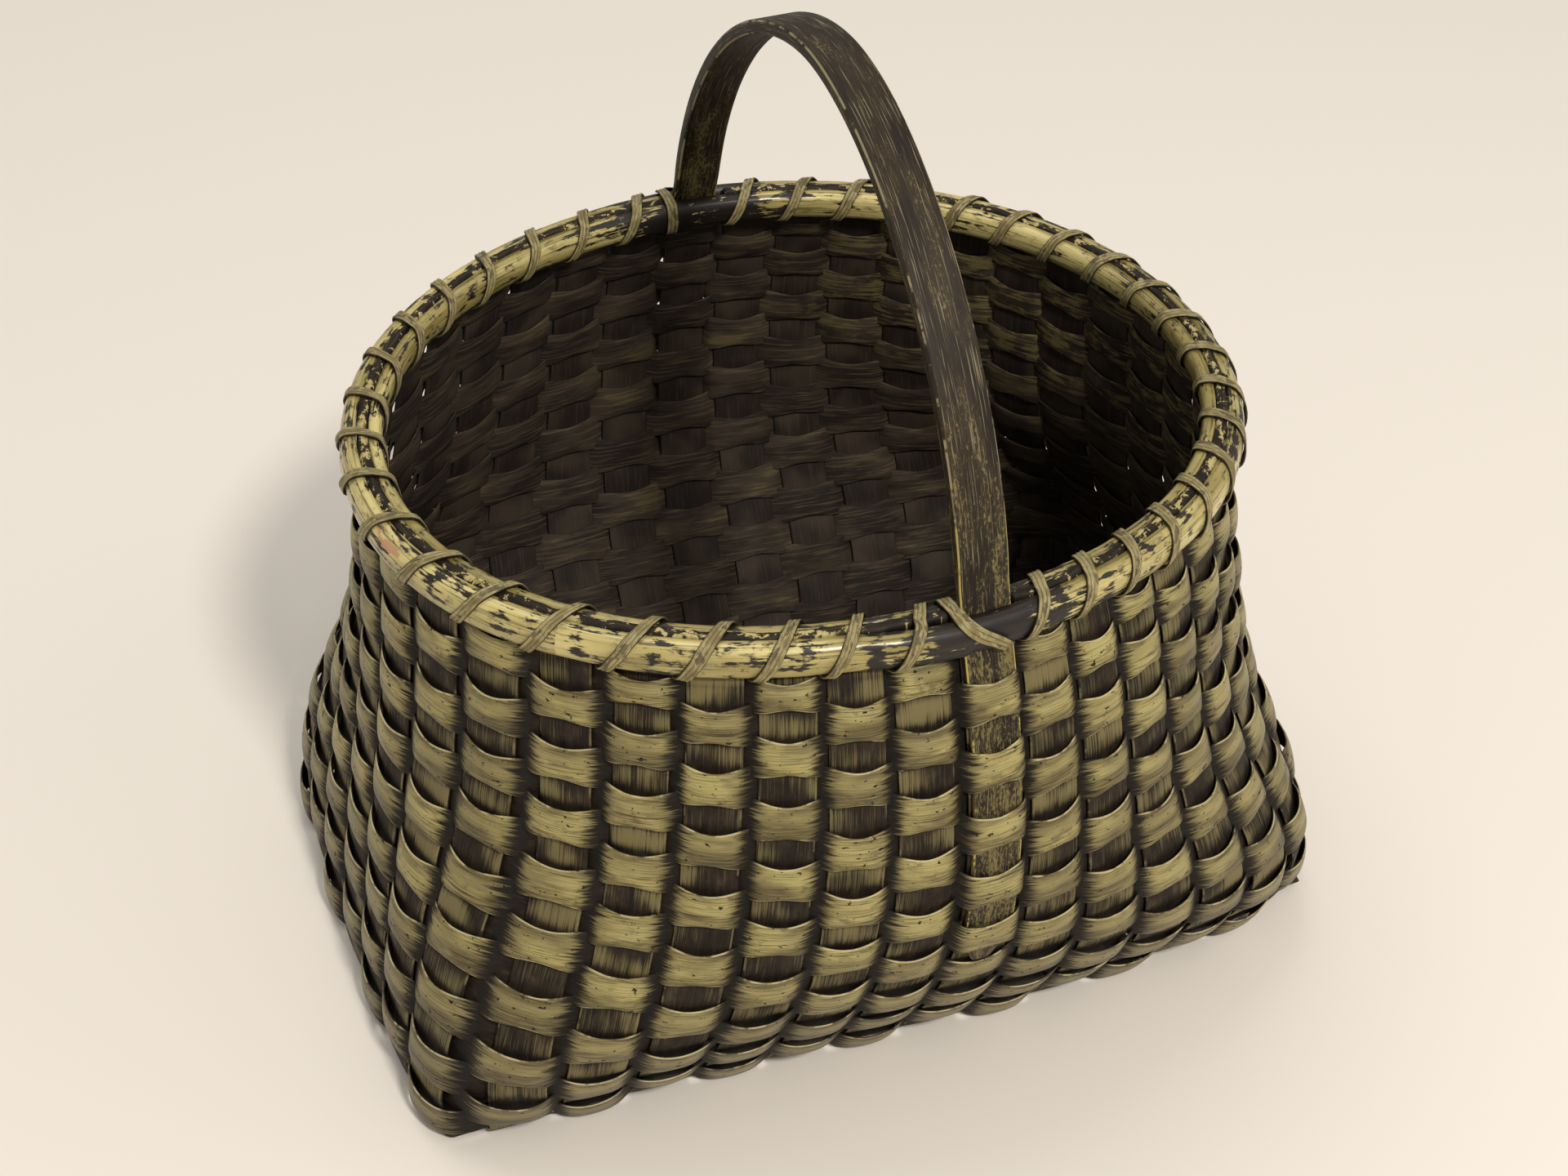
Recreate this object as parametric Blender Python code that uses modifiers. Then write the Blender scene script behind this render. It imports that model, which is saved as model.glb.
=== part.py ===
"""Woven splint market basket: rectangular woven bottom, bellied walls, oval lashed rim, fixed hoop handle.

Metres, +Z up, X along the basket, Y across it. The origin is on the ground under the middle of the basket.
Every splint, weaver, hoop, filler strip, the handle and the lashing is its own solid.
"""

import bisect
import math

import bmesh
import bpy
import numpy as np
from mathutils import Vector

# ---- overall shape of the wall's middle surface
BASE_HALF_X = 0.2200
BASE_HALF_Y = 0.1255
BASE_SHIFT_Y = -0.0130
WALL_SHIFT_Y = 0.0055
RIM_TWIST = math.radians(-2.8)
RIM_HALF_X = 0.1940
RIM_HALF_Y = 0.1655
RIM_Z = 0.2570
RIM_END_DIP = 0.0027
LOWER_REACH_X = 0.2655
LOWER_REACH_DECAY = 0.39
BELLY_X = -0.0512
BELLY_Y = 0.1667
LOWER_HALF_Y = 0.1208
LOWER_HALF_DECAY = 0.046
CORNER_EXPONENT = 15.0
RIM_EXPONENT = 2.056
CORNER_FADE = 5.09
SIDE_BOW_X = 0.030
SIDE_BOW_Y = 0.092
SIDE_BOW_SKEW = 1.5

TOP_HEIGHT = 1.03

# ---- splints that cross the bottom and turn up the walls
CROSS_COUNT = 13
LONG_COUNT = 7
CROSS_PITCH = 0.0321
LONG_PITCH = 0.0345
CROSS_SHIFT = 0.0088
NEAR_RIM_TURNS = (
    *(-0.648, -0.533, -0.419, -0.318, -0.220, -0.128, -0.036),
    *(0.062, 0.152, 0.236, 0.322, 0.412, 0.508, 0.606),
)
FAR_RIM_TURN = 0.025
TURN_EASE = 1.6
SPLINT_WIDTH = 0.0242
SPLINT_TOP_WIDTH = 0.0224
SPLINT_THICK = 0.0016
SPLINT_TOP_ABOVE_RIM = 0.0035
TURN_IN = 0.0040
TURN_ROUNDING = 0.28
GAP = 0.00035
WARP_ALLOWANCE = 2.0
FLOOR_CROSSING_MARGIN = 0.0012
BEND_ROWS = (0, 1, 2, 3, 4, 6, 8, 10, 12, 14, 16)

# ---- weavers
ROW_COUNT = 17
FIRST_ROW = 0.0105
LAST_ROW_BELOW_RIM = 0.0180
ROW_CROWN_STAKES = (0, 1, 3, 5, 6, 7, 8, 9, 12, 16, 20, 26, 32, 38, 39, 40)
ROW_CROWNS = (0.45, 0.55, 0.45, 0.20, 0.18, 0.45, 0.65, 0.75, 0.70, 0.40, 0.40, 0.30, 0.30, 0.10, 0.15, 0.45)
ROW_CROWN_BOTTOM = 0.15
ROW_CROWN_TOP = 0.12
ROW_GAP = 0.0026
FIRST_ROW_EDGE = 0.0048
TOP_ROW_BELOW_RIM = 0.0100
WEAVER_THICK = 0.0012
WEAVER_OVERHANG = 0.0005
WEAVER_BOTTOM_OVERHANG = 0.0015

# ---- handle
HANDLE_WIDTH = 0.0218
HANDLE_THICK = 0.0062
HANDLE_LEG_THICK = 0.0030
HANDLE_TIP_WIDTH = 0.0070
HANDLE_SHOULDER_WIDTH = 0.0180
HANDLE_RISE = 0.1664
HANDLE_SPRING_BELOW_RIM = 0.0220
HANDLE_EXPONENT = 1.86
HANDLE_LAST_ROW = 5.7
HANDLE_FIRST_BAND = 6
HANDLE_TAPER = 0.0120
HANDLE_LEG_ABOVE_RIM = 0.0072
HANDLE_ARCH_ABOVE_RIM = 0.0130
HANDLE_ARCH_STEPS = 30
HANDLE_SWELL_START = 0.0080
HANDLE_SWELL_LENGTH = 0.0220
HANDLE_EASED_EDGE = (0.93, 0.55)

# ---- rim hoops, filler and lashing, as (outward, upward) offsets from the rim line
HOOP_PROFILE = ((0.00275, -0.0075), (0.0076, -0.0060), (0.0093, 0.0), (0.0072, 0.0058), (0.00275, 0.0065))
HANDLE_BULGE = 0.0020
HANDLE_BULGE_STAKES = 2.0
FILLER_HALF_WIDTH = 0.0023
FILLER_BOTTOM = 0.0040
FILLER_TOP = 0.0080
LASHING_WIDTH = 0.0044
LASHING_THICK = 0.0010
LASHING_CLEARANCE = 0.0006
LASHING_HALF_LOOP = ((0.0026, -0.0084), (0.0086, -0.0071), (0.0104, 0.0), (0.0080, 0.0071), (0.0026, 0.0092))
LASHING_TRAVEL = (0.0, 0.10, 0.26, 0.40, 0.50, 0.58, 0.66, 0.78, 0.92, 1.0)
LASHING_START = 0.011
LASHING_SPREAD = (1.0, 1.15, 1.3, 1.3, 1.2, 1.2, 1.3, 1.3, 1.15, 1.0)
HANDLE_LASHING_TRAVEL = (0.0, 0.06, 0.46, 0.97, 1.0, 1.0, 1.0, 1.0, 1.0, 1.0)
STRAP_SPREAD = 1.7
HANDLE_STRAP = (
    (-0.50, -0.0104, 0.0, 1.0),
    (-0.50, -0.0080, 0.0071, 1.0),
    (-0.50, -0.0026, 0.0092, 1.0),
    (-0.50, 0.0026, 0.0092, 1.0),
    (-0.49, 0.0080, 0.0071, 1.0),
    (-0.36, 0.0106, 0.0030, STRAP_SPREAD),
    (0.0, 0.0108, -0.0006, STRAP_SPREAD),
    (0.31, 0.0098, -0.0048, STRAP_SPREAD),
)

STAKE_COUNT = 2 * (CROSS_COUNT + LONG_COUNT)
NEAR_MIDDLE = CROSS_COUNT // 2
RIGHT_MIDDLE = CROSS_COUNT + LONG_COUNT // 2
FAR_MIDDLE = NEAR_MIDDLE + STAKE_COUNT // 2
LEFT_MIDDLE = RIGHT_MIDDLE + STAKE_COUNT // 2
BASE_Z = SPLINT_THICK + GAP + SPLINT_THICK / 2
HALF_GAP_SHARE = 0.1

# ---- fineness of the construction
HEIGHT_STEPS = 90
SLOPE_STEP = 0.004
BEND_PROBE = 0.0005
MERGE_DISTANCE = 1e-7


def clear_scene():
    for old in list(bpy.data.objects):
        bpy.data.objects.remove(old, do_unlink=True)


# ---------------------------------------------------------------- wall surface

QUARTER_STEPS = 360
THETA = np.linspace(-math.pi / 2, 1.5 * math.pi, 4 * QUARTER_STEPS + 1)
SECTIONS = {}


def section(height):
    """Wall points round the basket at a height share, with a coordinate that gains one per quarter turn."""
    key = round(float(height), 5)
    if key in SECTIONS:
        return SECTIONS[key]
    up = min(max(key, 0.0), TOP_HEIGHT)
    low = 1.0 - min(up, 1.0)
    half_x = LOWER_REACH_X + (RIM_HALF_X - LOWER_REACH_X) * up + BELLY_X * up * low
    half_x -= (LOWER_REACH_X - BASE_HALF_X) * math.exp(-up / LOWER_REACH_DECAY)
    half_y = LOWER_HALF_Y + (RIM_HALF_Y - LOWER_HALF_Y) * up + BELLY_Y * up * low
    half_y -= (LOWER_HALF_Y - BASE_HALF_Y) * math.exp(-up / LOWER_HALF_DECAY)
    exponent = RIM_EXPONENT + (CORNER_EXPONENT - RIM_EXPONENT) * low**CORNER_FADE
    cosine, sine = np.cos(THETA), np.sin(THETA)
    radius = (np.abs(cosine) ** exponent + np.abs(sine) ** exponent) ** (-1 / exponent)
    across, along = radius * cosine, radius * sine
    skew = 1 - SIDE_BOW_SKEW * across * np.sign(along)
    flat_x = half_x * across * (1 + SIDE_BOW_X * low**2 * (1 - along**2))
    flat_y = half_y * along * (1 + SIDE_BOW_Y * low**2 * (1 - across**2) * skew * np.abs(along))
    twist = RIM_TWIST * up
    x = flat_x * math.cos(twist) - flat_y * math.sin(twist)
    y = flat_x * math.sin(twist) + flat_y * math.cos(twist) + BASE_SHIFT_Y * low + WALL_SHIFT_Y
    z = BASE_Z + up * (RIM_Z - BASE_Z) - RIM_END_DIP * up**2 * np.cos(2 * THETA)
    length = np.concatenate([[0.0], np.cumsum(np.hypot(np.diff(x), np.diff(y)))])
    corners = length[::QUARTER_STEPS]
    quarter = np.interp(length, corners, np.arange(5.0))
    SECTIONS[key] = (quarter, x, y, z)
    return SECTIONS[key]


def wall_point(height, turn):
    quarter, x, y, z = section(height)
    turn = turn % 4.0
    return np.array([np.interp(turn, quarter, x), np.interp(turn, quarter, y), np.interp(turn, quarter, z)])


def base_turn(stake):
    """Where a stake leaves the bottom, in quarter turns counted from the middle of the near side."""
    quarter, x, y, _ = section(0.0)
    if stake < CROSS_COUNT:
        side, places, target = 0, x, (stake - NEAR_MIDDLE) * CROSS_PITCH + CROSS_SHIFT
    elif stake < CROSS_COUNT + LONG_COUNT:
        side, places, target = 1, y, (stake - RIGHT_MIDDLE) * LONG_PITCH + BASE_SHIFT_Y + WALL_SHIFT_Y
    elif stake < 2 * CROSS_COUNT + LONG_COUNT:
        side, places, target = 2, x, (FAR_MIDDLE - stake) * CROSS_PITCH + CROSS_SHIFT
    else:
        side, places, target = 3, y, (LEFT_MIDDLE - stake) * LONG_PITCH + BASE_SHIFT_Y + WALL_SHIFT_Y
    middle = side * QUARTER_STEPS
    window = np.arange(middle - QUARTER_STEPS // 2, middle + QUARTER_STEPS // 2 + 1)
    places = places[window % (4 * QUARTER_STEPS)]
    turns = quarter[window % (4 * QUARTER_STEPS)] - 4.0 * (window < 0)
    order = np.argsort(places)
    return float(np.interp(target, places[order], turns[order]))


def rim_turn(stake):
    """Where a stake reaches the rim: closer together beside the near handle foot, nearly even elsewhere."""
    near = list(range(-1, CROSS_COUNT))
    stakes = near + [RIGHT_MIDDLE, FAR_MIDDLE, LEFT_MIDDLE, STAKE_COUNT - 1]
    turns = list(NEAR_RIM_TURNS) + [1.0, 2.0 - FAR_RIM_TURN, 3.0, 4.0 + NEAR_RIM_TURNS[0]]
    return float(np.interp(stake, stakes, turns))


class StakeLine:
    """One upright splint's run up the wall, as straight flats with a bend between every row or two of weavers."""

    def __init__(self, stake):
        self.base, self.rim = base_turn(stake), rim_turn(stake)
        self.crown = float(np.interp(stake, ROW_CROWN_STAKES, ROW_CROWNS))
        self.heights = np.linspace(0.0, TOP_HEIGHT, HEIGHT_STEPS)
        points = np.array([self.point_at_height(h) for h in self.heights])
        self.lengths = np.concatenate([[0.0], np.cumsum(np.linalg.norm(np.diff(points, axis=0), axis=1))])
        self.rim_length = float(np.interp(1.0, self.heights, self.lengths))
        self.top_width = SPLINT_TOP_WIDTH
        self.bends = [self.row_length(row - 0.5) for row in BEND_ROWS] + [self.rim_length + SPLINT_TOP_ABOVE_RIM]
        self.knots = [self.knot(length) for length in self.bends]

    def turn(self, height):
        return self.base + (self.rim - self.base) * min(height, 1.0) ** TURN_EASE

    def point_at_height(self, height):
        return wall_point(height, self.turn(height))

    def knot(self, length):
        """Centre of a bend and the direction across the splint there. The cut top runs level with the rim."""
        height = float(np.interp(length, self.lengths, self.heights))
        centre = Vector(self.point_at_height(height))
        above = Vector(self.point_at_height(min(height + SLOPE_STEP, TOP_HEIGHT)))
        below = Vector(self.point_at_height(max(height - SLOPE_STEP, 0.0)))
        up = (above - below).normalized()
        turn = self.turn(height)
        along = Vector(wall_point(height, turn + SLOPE_STEP) - wall_point(height, turn - SLOPE_STEP)).normalized()
        across = along if height > 1.0 else (along - up * along.dot(up)).normalized()
        return centre, across

    def frame(self, length):
        """Centre, sideways, upward and outward directions at a length up the stake from the bottom's edge."""
        below = min(max(bisect.bisect_right(self.bends, length) - 1, 0), len(self.bends) - 2)
        share = (length - self.bends[below]) / (self.bends[below + 1] - self.bends[below])
        (low, low_across), (high, high_across) = self.knots[below], self.knots[below + 1]
        up = (high - low).normalized()
        across = low_across + (high_across - low_across) * share
        return low + (high - low) * share, across, up, across.cross(up).normalized()

    def bend_out(self, length):
        """Outward vector at a bend, long enough to keep both flats' offset surfaces parallel to them."""
        below, above = self.frame(length - BEND_PROBE)[3], self.frame(length + BEND_PROBE)[3]
        return (below + above) / (1 + below.dot(above))

    def warp(self, length):
        """How far a flat's two triangles can stand off its slightly twisted surface."""
        below = min(max(bisect.bisect_right(self.bends, length) - 1, 0), len(self.bends) - 2)
        turn = (self.knots[below + 1][1] - self.knots[below][1]).dot(self.frame(length)[3])
        return abs(turn) * self.width(length) / 4 * WARP_ALLOWANCE

    def width(self, length):
        return SPLINT_WIDTH + (self.top_width - SPLINT_WIDTH) * length / self.rim_length

    def row_length(self, row):
        """Rows start level with the bottom and end level with the rim; between, they ride up by the crown."""
        last = self.rim_length - LAST_ROW_BELOW_RIM
        share = row / (ROW_COUNT - 1)
        rise = (1 - math.exp(-share / ROW_CROWN_BOTTOM)) * (1 - math.exp((share - 1) / ROW_CROWN_TOP))
        return FIRST_ROW + (last - FIRST_ROW) * (share + self.crown * rise / (ROW_COUNT - 1))


def make_stake_lines():
    lines = []
    for stake in range(STAKE_COUNT):
        lines.append(StakeLine(stake))
    tops = [line.point_at_height(1.0) for line in lines]
    for stake, line in enumerate(lines):
        before, after = tops[stake - 1], tops[(stake + 1) % STAKE_COUNT]
        pitch = min(np.linalg.norm(tops[stake] - before), np.linalg.norm(after - tops[stake]))
        line.top_width = min(SPLINT_TOP_WIDTH, float(pitch) - LASHING_WIDTH - 2 * LASHING_CLEARANCE)
    return lines


# ---------------------------------------------------------------- object builders


def sheet(name, along, across, place, close_along=False, close_across=False):
    """A grid of along x across points moved by place(i, j). Closed directions share their last and first lines."""
    columns = along if close_along else along - 1
    rows = across if close_across else across - 1
    mesh = bmesh.new()
    bmesh.ops.create_grid(mesh, x_segments=columns, y_segments=rows, size=1.0)
    for vertex in mesh.verts:
        i = round((vertex.co.x + 1) / 2 * columns)
        j = round((vertex.co.y + 1) / 2 * rows)
        vertex.co = place(i % along, j % across)
    bmesh.ops.remove_doubles(mesh, verts=mesh.verts, dist=MERGE_DISTANCE)
    if close_across and not close_along:
        edges = [edge for edge in mesh.edges if edge.is_boundary]
        bmesh.ops.holes_fill(mesh, edges=edges, sides=0)
    bmesh.ops.recalc_face_normals(mesh, faces=mesh.faces)
    data = bpy.data.meshes.new(name)
    mesh.to_mesh(data)
    mesh.free()
    made = bpy.data.objects.new(name, data)
    bpy.context.scene.collection.children["market_basket"].objects.link(made)
    return made


def thicken(made, thickness):
    solid = made.modifiers.new("thickness", "SOLIDIFY")
    solid.thickness = thickness
    solid.offset = 0.0
    solid.use_even_offset = True


def smooth(made):
    for face in made.data.polygons:
        face.use_smooth = True


def paint(made, colour, roughness):
    material = bpy.data.materials.new(made.name)
    material.use_nodes = True
    shader = material.node_tree.nodes["Principled BSDF"]
    shader.inputs["Base Color"].default_value = (*colour, 1.0)
    shader.inputs["Roughness"].default_value = roughness
    shader.inputs["Metallic"].default_value = 0.0
    made.data.materials.append(material)


OLIVE = (0.24, 0.20, 0.085)
DARK_SPLINT = (0.055, 0.045, 0.028)
RIM_OLIVE = (0.30, 0.25, 0.11)
RIM_DARK = (0.10, 0.085, 0.045)
HANDLE_BROWN = (0.060, 0.050, 0.038)
SPLINT_ROUGHNESS = 0.62
WEAVER_ROUGHNESS = 0.55
HOOP_ROUGHNESS = 0.42
RUBBED_ROUGHNESS = 0.50


def wall_run(line, flip):
    """Centre and half-width vectors of one upright splint, from just above the bottom to its cut top."""
    points = []
    for length, (centre, across) in zip(line.bends, line.knots):
        points.append((centre, across * (line.width(length) / 2) * flip))
    return points


def turn_up_points(inside, line, flip, width_direction):
    """Two points that round the bend between the flat bottom and the wall."""
    edge = Vector(line.point_at_height(0.0))
    inward = inside - edge
    inward.z = 0.0
    inward.normalize()
    flat = edge + inward * TURN_IN
    flat.z = BASE_Z
    middle = edge + inward * TURN_IN * TURN_ROUNDING
    middle.z = BASE_Z + TURN_IN * TURN_ROUNDING
    half = width_direction * (SPLINT_WIDTH / 2)
    return [(middle, half), (flat, half)]


def splint(name, start_line, end_line, width_direction, offsets):
    """One splint: down one wall, across the bottom with the given (share, lift) points, up the other wall."""
    start = Vector(start_line.point_at_height(0.0))
    end = Vector(end_line.point_at_height(0.0))
    path = list(reversed(wall_run(start_line, 1)))
    path += turn_up_points(end, start_line, 1, width_direction)
    half = width_direction * (SPLINT_WIDTH / 2)
    for position, lift in offsets:
        spot = start.lerp(end, position)
        spot.z = BASE_Z + lift
        path.append((spot, half))
    path += list(reversed(turn_up_points(start, end_line, -1, width_direction)))
    path += wall_run(end_line, -1)

    def place(i, j):
        centre, half_width = path[i]
        return centre + half_width * (2 * j - 1)

    made = sheet(name, len(path), 2, place)
    thicken(made, SPLINT_THICK)
    paint(made, DARK_SPLINT, SPLINT_ROUGHNESS)
    return made


def make_cross_splints(lines):
    for index in range(CROSS_COUNT):
        near, far = lines[index], lines[FAR_MIDDLE + NEAR_MIDDLE - index]
        splint(f"cross_splint_{index + 1:02d}", near, far, Vector((1, 0, 0)), [])


def make_long_splints(lines):
    """The long splints run over and under the cross splints in the bottom."""
    lift = SPLINT_THICK + GAP
    reach = SPLINT_WIDTH / 2 + FLOOR_CROSSING_MARGIN
    for index in range(LONG_COUNT):
        left, right = lines[LEFT_MIDDLE + LONG_COUNT // 2 - index], lines[CROSS_COUNT + index]
        start = left.point_at_height(0.0)[0]
        span = right.point_at_height(0.0)[0] - start
        offsets = []
        for crossing in range(CROSS_COUNT):
            middle = lines[crossing].point_at_height(0.0)[0]
            sign = 1 if (crossing + index) % 2 else -1
            for edge in (-reach, reach):
                offsets.append(((middle + edge - start) / span, sign * lift))
        splint(f"long_splint_{index + 1:02d}", left, right, Vector((0, -1, 0)), offsets)


def passes_outside(row, stake):
    return (row + stake) % 2 == 1


def weaver_offset(row, stake):
    """How far a weaver's middle stands off the stake's middle, outward positive."""
    clear = SPLINT_THICK / 2 + GAP + WEAVER_THICK / 2
    if not passes_outside(row, stake):
        return -clear
    if stake in (NEAR_MIDDLE, FAR_MIDDLE) and row >= HANDLE_FIRST_BAND:
        return clear + HANDLE_LEG_THICK + GAP
    return clear


def make_weavers(lines):
    for row in range(ROW_COUNT):
        ring = []
        for stake, line in enumerate(lines):
            middle = line.row_length(row)
            lowness = 1 - middle / line.rim_length
            overhang = WEAVER_OVERHANG + (WEAVER_BOTTOM_OVERHANG - WEAVER_OVERHANG) * lowness
            reach = line.width(middle) / 2 + overhang
            offset = weaver_offset(row, stake)
            offset += math.copysign(line.warp(middle), offset)
            bottom = max(line.row_length(row - 0.5) + ROW_GAP / 2, FIRST_ROW_EDGE)
            top = min(line.row_length(row + 0.5), line.rim_length - TOP_ROW_BELOW_RIM) - ROW_GAP / 2
            levels = [line.frame(bottom), line.frame(top)]
            for direction in (-1, 1):
                pair = [centre + side * reach * direction + out * offset for centre, side, up, out in levels]
                ring.append(pair)

        def place(i, j, ring=ring):
            return ring[i][j]

        made = sheet(f"weaver_{row + 1:02d}", len(ring), 2, place, close_along=True)
        thicken(made, WEAVER_THICK)
        paint(made, OLIVE, WEAVER_ROUGHNESS)


def rim_frame(lines, place_index):
    """Rim point, outward direction and rise (the stake's direction per unit of height) beside a stake's edges.

    Even places are before a stake's middle, odd places after it.
    """
    stake = (place_index // 2) % STAKE_COUNT
    direction = 1 if place_index % 2 else -1
    line = lines[stake]
    centre, side, up, out = line.frame(line.rim_length)
    out = Vector((out.x, out.y, 0.0)).normalized()
    reach = line.top_width / 2 + WEAVER_OVERHANG
    return centre + side * reach * direction, out, up / up.z


def handle_bulge(stake):
    distance = min(abs(stake - NEAR_MIDDLE), abs(stake - FAR_MIDDLE))
    return HANDLE_BULGE * max(0.0, 1.0 - distance / HANDLE_BULGE_STAKES)


def make_hoop(name, lines, side_sign):
    count = STAKE_COUNT * 2

    def place(i, j):
        centre, out, rise = rim_frame(lines, i)
        outward, upward = HOOP_PROFILE[j]
        bulge = handle_bulge(i // 2) if side_sign > 0 else 0.0
        return centre + out * (outward + bulge) * side_sign + rise * upward

    made = sheet(name, count, len(HOOP_PROFILE), place, close_along=True, close_across=True)
    smooth(made)
    paint(made, RIM_OLIVE, HOOP_ROUGHNESS)


def make_fillers(lines):
    """Strips that cap the cut upright ends between the hoops, stopping either side of the handle."""
    profile = ((-1, FILLER_BOTTOM), (1, FILLER_BOTTOM), (1, FILLER_TOP), (-1, FILLER_TOP))
    spans = {"rim_filler_right": NEAR_MIDDLE, "rim_filler_left": FAR_MIDDLE}
    for name, first in spans.items():
        places = range(2 * first + 2, 2 * first + STAKE_COUNT)

        def place(i, j, places=places):
            centre, out, rise = rim_frame(lines, places[i])
            outward, upward = profile[j]
            return centre + out * outward * FILLER_HALF_WIDTH + rise * upward

        made = sheet(name, len(places), 4, place, close_across=True)
        paint(made, RIM_DARK, RUBBED_ROUGHNESS)


def handle_path(lines):
    """Centre points with width, thickness and sideways, outward directions, from one tip over to the other."""
    halves = []
    for stake in (NEAR_MIDDLE, FAR_MIDDLE):
        line = lines[stake]
        sign = 1 if stake == NEAR_MIDDLE else -1
        stand_off = SPLINT_THICK / 2 + GAP + HANDLE_LEG_THICK / 2
        half = []
        tip = line.row_length(HANDLE_LAST_ROW)
        taper = [(tip, HANDLE_TIP_WIDTH), (tip + HANDLE_TAPER, HANDLE_SHOULDER_WIDTH)]
        bends = [bend for bend in line.bends[:-1] if bend > tip + HANDLE_TAPER]
        bends.append(line.rim_length + HANDLE_LEG_ABOVE_RIM)
        for length, width in taper + [(length, HANDLE_WIDTH) for length in bends]:
            centre, side, up, out = line.frame(length)
            out = line.bend_out(length)
            middle = centre + out * (stand_off + line.warp(length))
            half.append((middle, side * sign * width / 2, out * HANDLE_LEG_THICK / 2))
        halves.append(half)
    near_foot, far_foot = [half[-1][0] for half in halves]
    arch = []
    spring = RIM_Z - HANDLE_SPRING_BELOW_RIM
    middle_y = (near_foot.y + far_foot.y) / 2
    half_span = (far_foot.y - near_foot.y) / 2
    for step in range(1, HANDLE_ARCH_STEPS):
        angle = math.pi * step / HANDLE_ARCH_STEPS
        cosine, sine = math.cos(angle), math.sin(angle)
        y = -half_span * math.copysign(abs(cosine) ** (2 / HANDLE_EXPONENT), cosine)
        z = spring + (HANDLE_RISE + HANDLE_SPRING_BELOW_RIM) * sine ** (2 / HANDLE_EXPONENT)
        if z < RIM_Z + HANDLE_ARCH_ABOVE_RIM:
            continue
        x = near_foot.x + (far_foot.x - near_foot.x) * (1 - y / -half_span) / 2
        arch.append(Vector((x, middle_y + y, z)))
    full = []
    for index, point in enumerate(arch):
        before = arch[index - 1] if index else near_foot
        after = arch[index + 1] if index + 1 < len(arch) else far_foot
        along = (after - before).normalized()
        outward = Vector((1, 0, 0)).cross(along).normalized()
        above = min(1.0, (point.z - RIM_Z - HANDLE_SWELL_START) / HANDLE_SWELL_LENGTH)
        thick = HANDLE_LEG_THICK + (HANDLE_THICK - HANDLE_LEG_THICK) * above
        full.append((point, Vector((HANDLE_WIDTH / 2, 0, 0)), outward * thick / 2))
    return halves[0] + full + list(reversed(halves[1]))


def make_handle(lines):
    """A flat bent band with eased edges that runs down outside the middle stakes and ends in two tapered tips."""
    path = handle_path(lines)
    across_edge, through_edge = HANDLE_EASED_EDGE
    quarter = ((across_edge, 1), (1, through_edge))
    section_shape = [(-x, -y) for x, y in reversed(quarter)] + [(x, -y) for x, y in quarter]
    section_shape += [(x, y) for x, y in reversed(quarter)] + [(-x, y) for x, y in quarter]

    def place(i, j):
        centre, half_width, half_thick = path[i]
        across, through = section_shape[j]
        return centre + half_width * across + half_thick * through

    made = sheet("handle", len(path), len(section_shape), place, close_across=True)
    paint(made, HANDLE_BROWN, RUBBED_ROUGHNESS)


def rim_at(lines, position):
    """Rim frame at a stake position, where whole numbers are stake middles."""
    nearest = math.floor(position + 0.5)
    share = position + 0.5 - nearest
    before, first, second, after = [rim_frame(lines, 2 * nearest + step) for step in (-1, 0, 1, 2)]
    start = [(a + b) / 2 for a, b in zip(before, first)]
    end = [(a + b) / 2 for a, b in zip(second, after)]
    marks = ((0.0, start), (HALF_GAP_SHARE, first), (1 - HALF_GAP_SHARE, second), (1.0, end))
    for (low, left), (high, right) in zip(marks, marks[1:]):
        if share <= high:
            break
    blend = (share - low) / (high - low)
    centre, out, rise = [a.lerp(b, blend) for a, b in zip(left, right)]
    return centre, out.normalized(), rise


def lashing_strip(name, lines, path):
    """A flat strip laid round the hoops through (stake position, outward, upward, spread) points.

    The spread widens the strip along the rim where it runs across a slope.
    """

    def place(i, j):
        at, outward, upward, spread = path[i]
        centre, out, rise = rim_at(lines, at)
        bulge = handle_bulge(round(at) % STAKE_COUNT) if outward > LASHING_HALF_LOOP[0][0] else 0.0
        along = Vector((0, 0, 1)).cross(out)
        middle = centre + out * (outward + bulge) + rise * upward
        return middle + along * spread * LASHING_WIDTH / 2 * (2 * j - 1)

    made = sheet(name, len(path), 2, place)
    thicken(made, LASHING_THICK)
    paint(made, RIM_OLIVE, RUBBED_ROUGHNESS)


def make_lashing(lines):
    """One splint winds round both hoops through every gap but the near handle's, where a short one crosses."""
    loop = list(LASHING_HALF_LOOP) + [(-outward, upward) for outward, upward in reversed(LASHING_HALF_LOOP)]
    path = []
    for turn in range(STAKE_COUNT - 1):
        gap = (NEAR_MIDDLE + turn) % STAKE_COUNT
        at_handle = gap + 1 == FAR_MIDDLE
        travel = HANDLE_LASHING_TRAVEL if at_handle else LASHING_TRAVEL
        for step, (along, (outward, upward)) in enumerate(zip(travel, loop)):
            spread = STRAP_SPREAD if at_handle and step == 2 else LASHING_SPREAD[step]
            start = LASHING_START if not path else 0.0
            path.append((gap + 0.5 + along + start, outward, upward, spread))
    lashing_strip("rim_lashing", lines, path)
    strap = [(NEAR_MIDDLE + along, outward, upward, spread) for along, outward, upward, spread in HANDLE_STRAP]
    lashing_strip("handle_lashing", lines, strap)


def main():
    clear_scene()
    collection = bpy.data.collections.new("market_basket")
    bpy.context.scene.collection.children.link(collection)
    lines = make_stake_lines()
    make_cross_splints(lines)
    make_long_splints(lines)
    make_weavers(lines)
    make_hoop("rim_outer_hoop", lines, 1)
    make_hoop("rim_inner_hoop", lines, -1)
    make_fillers(lines)
    make_handle(lines)
    make_lashing(lines)


main()
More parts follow.
